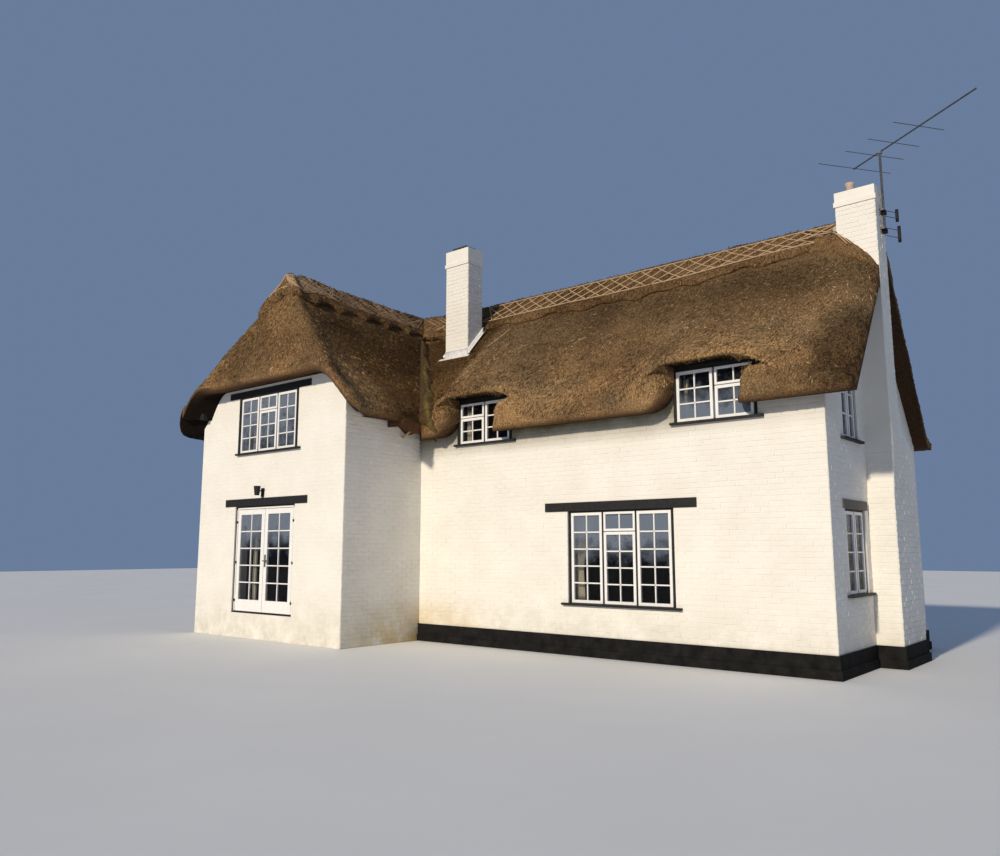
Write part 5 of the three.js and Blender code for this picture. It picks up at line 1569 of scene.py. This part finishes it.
def bricks(span, z, holes=(), top=None, proud=BRICK_PROUD):
    """Brick faces of a wall in its own coordinates, cut at its holes and under its top line."""
    pick = np.random.default_rng(int(abs(span[0] + 7 * span[1] + 3 * z[0]) * 1000))
    cells = np.array(list(brick_cells(span, z, holes)))
    if top is not None:
        cells = cells[cells[:, 2] + COURSE < np.minimum(top(cells[:, 0]), top(cells[:, 1]))]
    count = len(cells)
    depth = proud * pick.uniform(0.55, 1.25, count)
    tilt = BRICK_TILT * pick.normal(size=(2, count))
    points = np.zeros((count, 8, 3))
    for k, (right, up) in enumerate(((0, 0), (1, 0), (1, 1), (0, 1))):
        for ring, inset in ((0, JOINT / 2), (4, JOINT / 2 + BRICK_SLOPE)):
            points[:, ring + k, 0] = cells[:, right] + (-inset if right else inset)
            points[:, ring + k, 2] = cells[:, 2] + (COURSE - inset if up else inset)
        points[:, 4 + k, 1] = -depth + tilt[0] * (right - 0.5) + tilt[1] * (up - 0.5)
    points[:, :4, 1] = 0.002
    faces = (BRICK_SIDES + 8 * np.arange(count)[:, None, None]).reshape(-1, 4).tolist()
    return points.reshape(-1, 3), faces


def opening_holes(wall):
    holes = []
    for _, place, span, z, _ in WINDOWS:
        if place == wall:
            holes.append((widened(span, SURROUND), (z[0], z[1] + WINDOW_HEAD)))
            holes.append((widened(span, SILL_PAST), (z[0] - SILL_THICK, z[0])))
    return holes + [(span, z) for place, span, z in LINTELS if place == wall]


def gable_top(y):
    rise = np.where(y < RIDGE_Y, y / RIDGE_Y, (BACK_Y - y) / RIDGE_Y)
    eave = np.where(y < RIDGE_Y, MAIN_EAVE, BACK_EAVE)
    return between(eave + SOFFIT_RISE, MAIN_RIDGE - THATCH_DEPTH, rise) + 0.08


def wing_top(x):
    right, left = (hip_low(HALF_WIDTH - side * (x - RIDGE_X), side) for side in (1, -1))
    return np.where(x > RIDGE_X, right, left) + SOFFIT_RISE


def left_top(along):
    return side_low(-along, -1) + SOFFIT_RISE


def leaned(mesh, axis, bend):
    """A mesh whose points shift along one axis by height."""
    mesh[0][:, axis] += np.interp(mesh[0][:, 2], *bend)
    return mesh


def breast_bricks():
    """Courses on the faces of the chimney breast, which narrows as it rises."""
    (y0, y1), holes = BREAST_Y, []
    for z in np.arange(PLINTH_TOP, STACK["z"], COURSE):
        level = (z, z + COURSE)
        holes.append(((-1, np.interp(level[1], *BREAST_FRONT)), level))
        holes.append(((np.interp(level[1], *BREAST_REAR), 3), level))
    face = bricks((0, y1 - y0), (PLINTH_TOP, STACK["z"]), holes)
    yield leaned(turned(face, (BREAST_OUT, y0), 90), 0, BREAST_LEAN)
    near = bricks((0, BREAST_OUT), (PLINTH_TOP, SHOULDER + COURSE))
    yield leaned(turned(near, (0, y0), 0), 1, BREAST_FRONT)
    yield turned(bricks((0, BREAST_OUT), (PLINTH_TOP, SHOULDER)), (BREAST_OUT, y1), 180)


def shaft_bricks(stack, low, turns=(0, 90, 180, 270)):
    """Courses round a chimney shaft above a level."""
    (x0, x1), (y0, y1) = stack["x"], stack["y"]
    corners = {0: (x0, y0), 90: (x1, y0), 180: (x1, y1), 270: (x0, y1)}
    for turn in turns:
        wide = y1 - y0 if turn % 180 else x1 - x0
        yield turned(bricks((0, wide), (low, stack["z"])), corners[turn], turn)


def make_bricks():
    """The courses of all walls and chimneys, as one piece for each side of the house."""
    door = widened(DOOR_X, SURROUND), (FLOOR_TOP, DOOR_TOP)
    breast = [(BREAST_Y, (0.0, BREAST_WIDE_UNTIL)), ((BREAST_Y[0], 2.3), (BREAST_WIDE_UNTIL, 9.0))]
    gable = opening_holes("gable") + breast
    main = bricks((INNER_X, 0), (PLINTH_TOP, 3.65), opening_holes("main"))
    wing = bricks((LEFT_X, INNER_X), (0.0, 4.7), [*opening_holes("wing"), door], wing_top, 0.0025)
    wing_side = turned(bricks((0, -WING_Y), (0.0, 3.97)), (INNER_X, WING_Y), 90)
    back = bricks((0, -LEFT_X), (PLINTH_TOP, 3.375), opening_holes("back"))
    back_foot = bricks((-INNER_X, -LEFT_X), (0, PLINTH_TOP))
    left = bricks((-BACK_Y, -WING_Y), (0.0, 3.9), opening_holes("left"), left_top)
    gable_face = bricks((0, BACK_Y), (PLINTH_TOP, 6.0), gable, gable_top, 0.003)
    walls = {
        "main_wall": [placed(main, "main")],
        "wing_wall": [placed(wing, "wing"), wing_side],
        "gable": [placed(gable_face, "gable"), *breast_bricks()],
        "chimney": [*shaft_bricks(STACK, 5.965, (0, 180, 270)), *shaft_bricks(VALLEY_STACK, 5.485)],
        "back_wall": [placed(back, "back"), placed(back_foot, "back")],
        "left_wall": [placed(left, "left")],
    }
    for name, meshes in walls.items():
        make(f"{name}_bricks", *gather(meshes), BRICK, "brick", shaded=False)


make_bricks()

# Floor, light and camera

FLOOR_SIZE, FLOOR_DROP = 60.0, 0.002
SKY_COLOR, SKY_POWER = (0.43, 0.62, 1.0), 0.33
SUN_COLOR, SUN_POWER, SUN_WIDE, SUN_WAY = (1.0, 0.88, 0.70), 3.05, 3, (-0.02, 1.0, -0.47)
CAMERA_AT, CAMERA_YAW, CAMERA_PITCH = (3.5541, -10.8859, 1.6087), 39.684, 8.338
SENSOR, LENS = 36.0, 29.93


def make_stage():
    s = FLOOR_SIZE
    mesh = bpy.data.meshes.new("studio_floor")
    mesh.from_pydata([(-s, -s, 0), (s, -s, 0), (s, s, 0), (-s, s, 0)], [], [(0, 1, 2, 3)])
    pale = plain_material("studio_pale", (0.72, 0.72, 0.71), (0.76, 0.76, 0.75), 0.9, scale=0.3)
    mesh.materials.append(pale)
    floor = bpy.data.objects.new("studio_floor", mesh)
    floor.location.z = -FLOOR_DROP
    bpy.context.scene.collection.objects.link(floor)


def make_light():
    world = bpy.data.worlds.new("studio")
    world.use_nodes = True
    back = world.node_tree.nodes["Background"].inputs
    back["Color"].default_value = (*SKY_COLOR, 1)
    back["Strength"].default_value = SKY_POWER
    bpy.context.scene.world = world
    sun = bpy.data.lights.new("key", "SUN")
    sun.energy, sun.angle, sun.color = SUN_POWER, math.radians(SUN_WIDE), SUN_COLOR
    key = bpy.data.objects.new("key", sun)
    key.rotation_euler = Vector(SUN_WAY).to_track_quat("-Z", "Y").to_euler()
    bpy.context.scene.collection.objects.link(key)


def make_camera():
    yaw, pitch = math.radians(CAMERA_YAW), math.radians(CAMERA_PITCH)
    forward = Vector((-math.sin(yaw) * math.cos(pitch), math.cos(yaw) * math.cos(pitch), math.sin(pitch)))
    data = bpy.data.cameras.new("camera")
    data.sensor_width, data.lens = SENSOR, LENS
    camera = bpy.data.objects.new("camera", data)
    camera.location = at(CAMERA_AT)
    camera.rotation_mode = "QUATERNION"
    camera.rotation_quaternion = forward.to_track_quat("-Z", "Y")
    bpy.context.scene.collection.objects.link(camera)
    bpy.context.scene.camera = camera


make_stage()
make_light()
make_camera()
bpy.context.scene.view_settings.view_transform = "Standard"
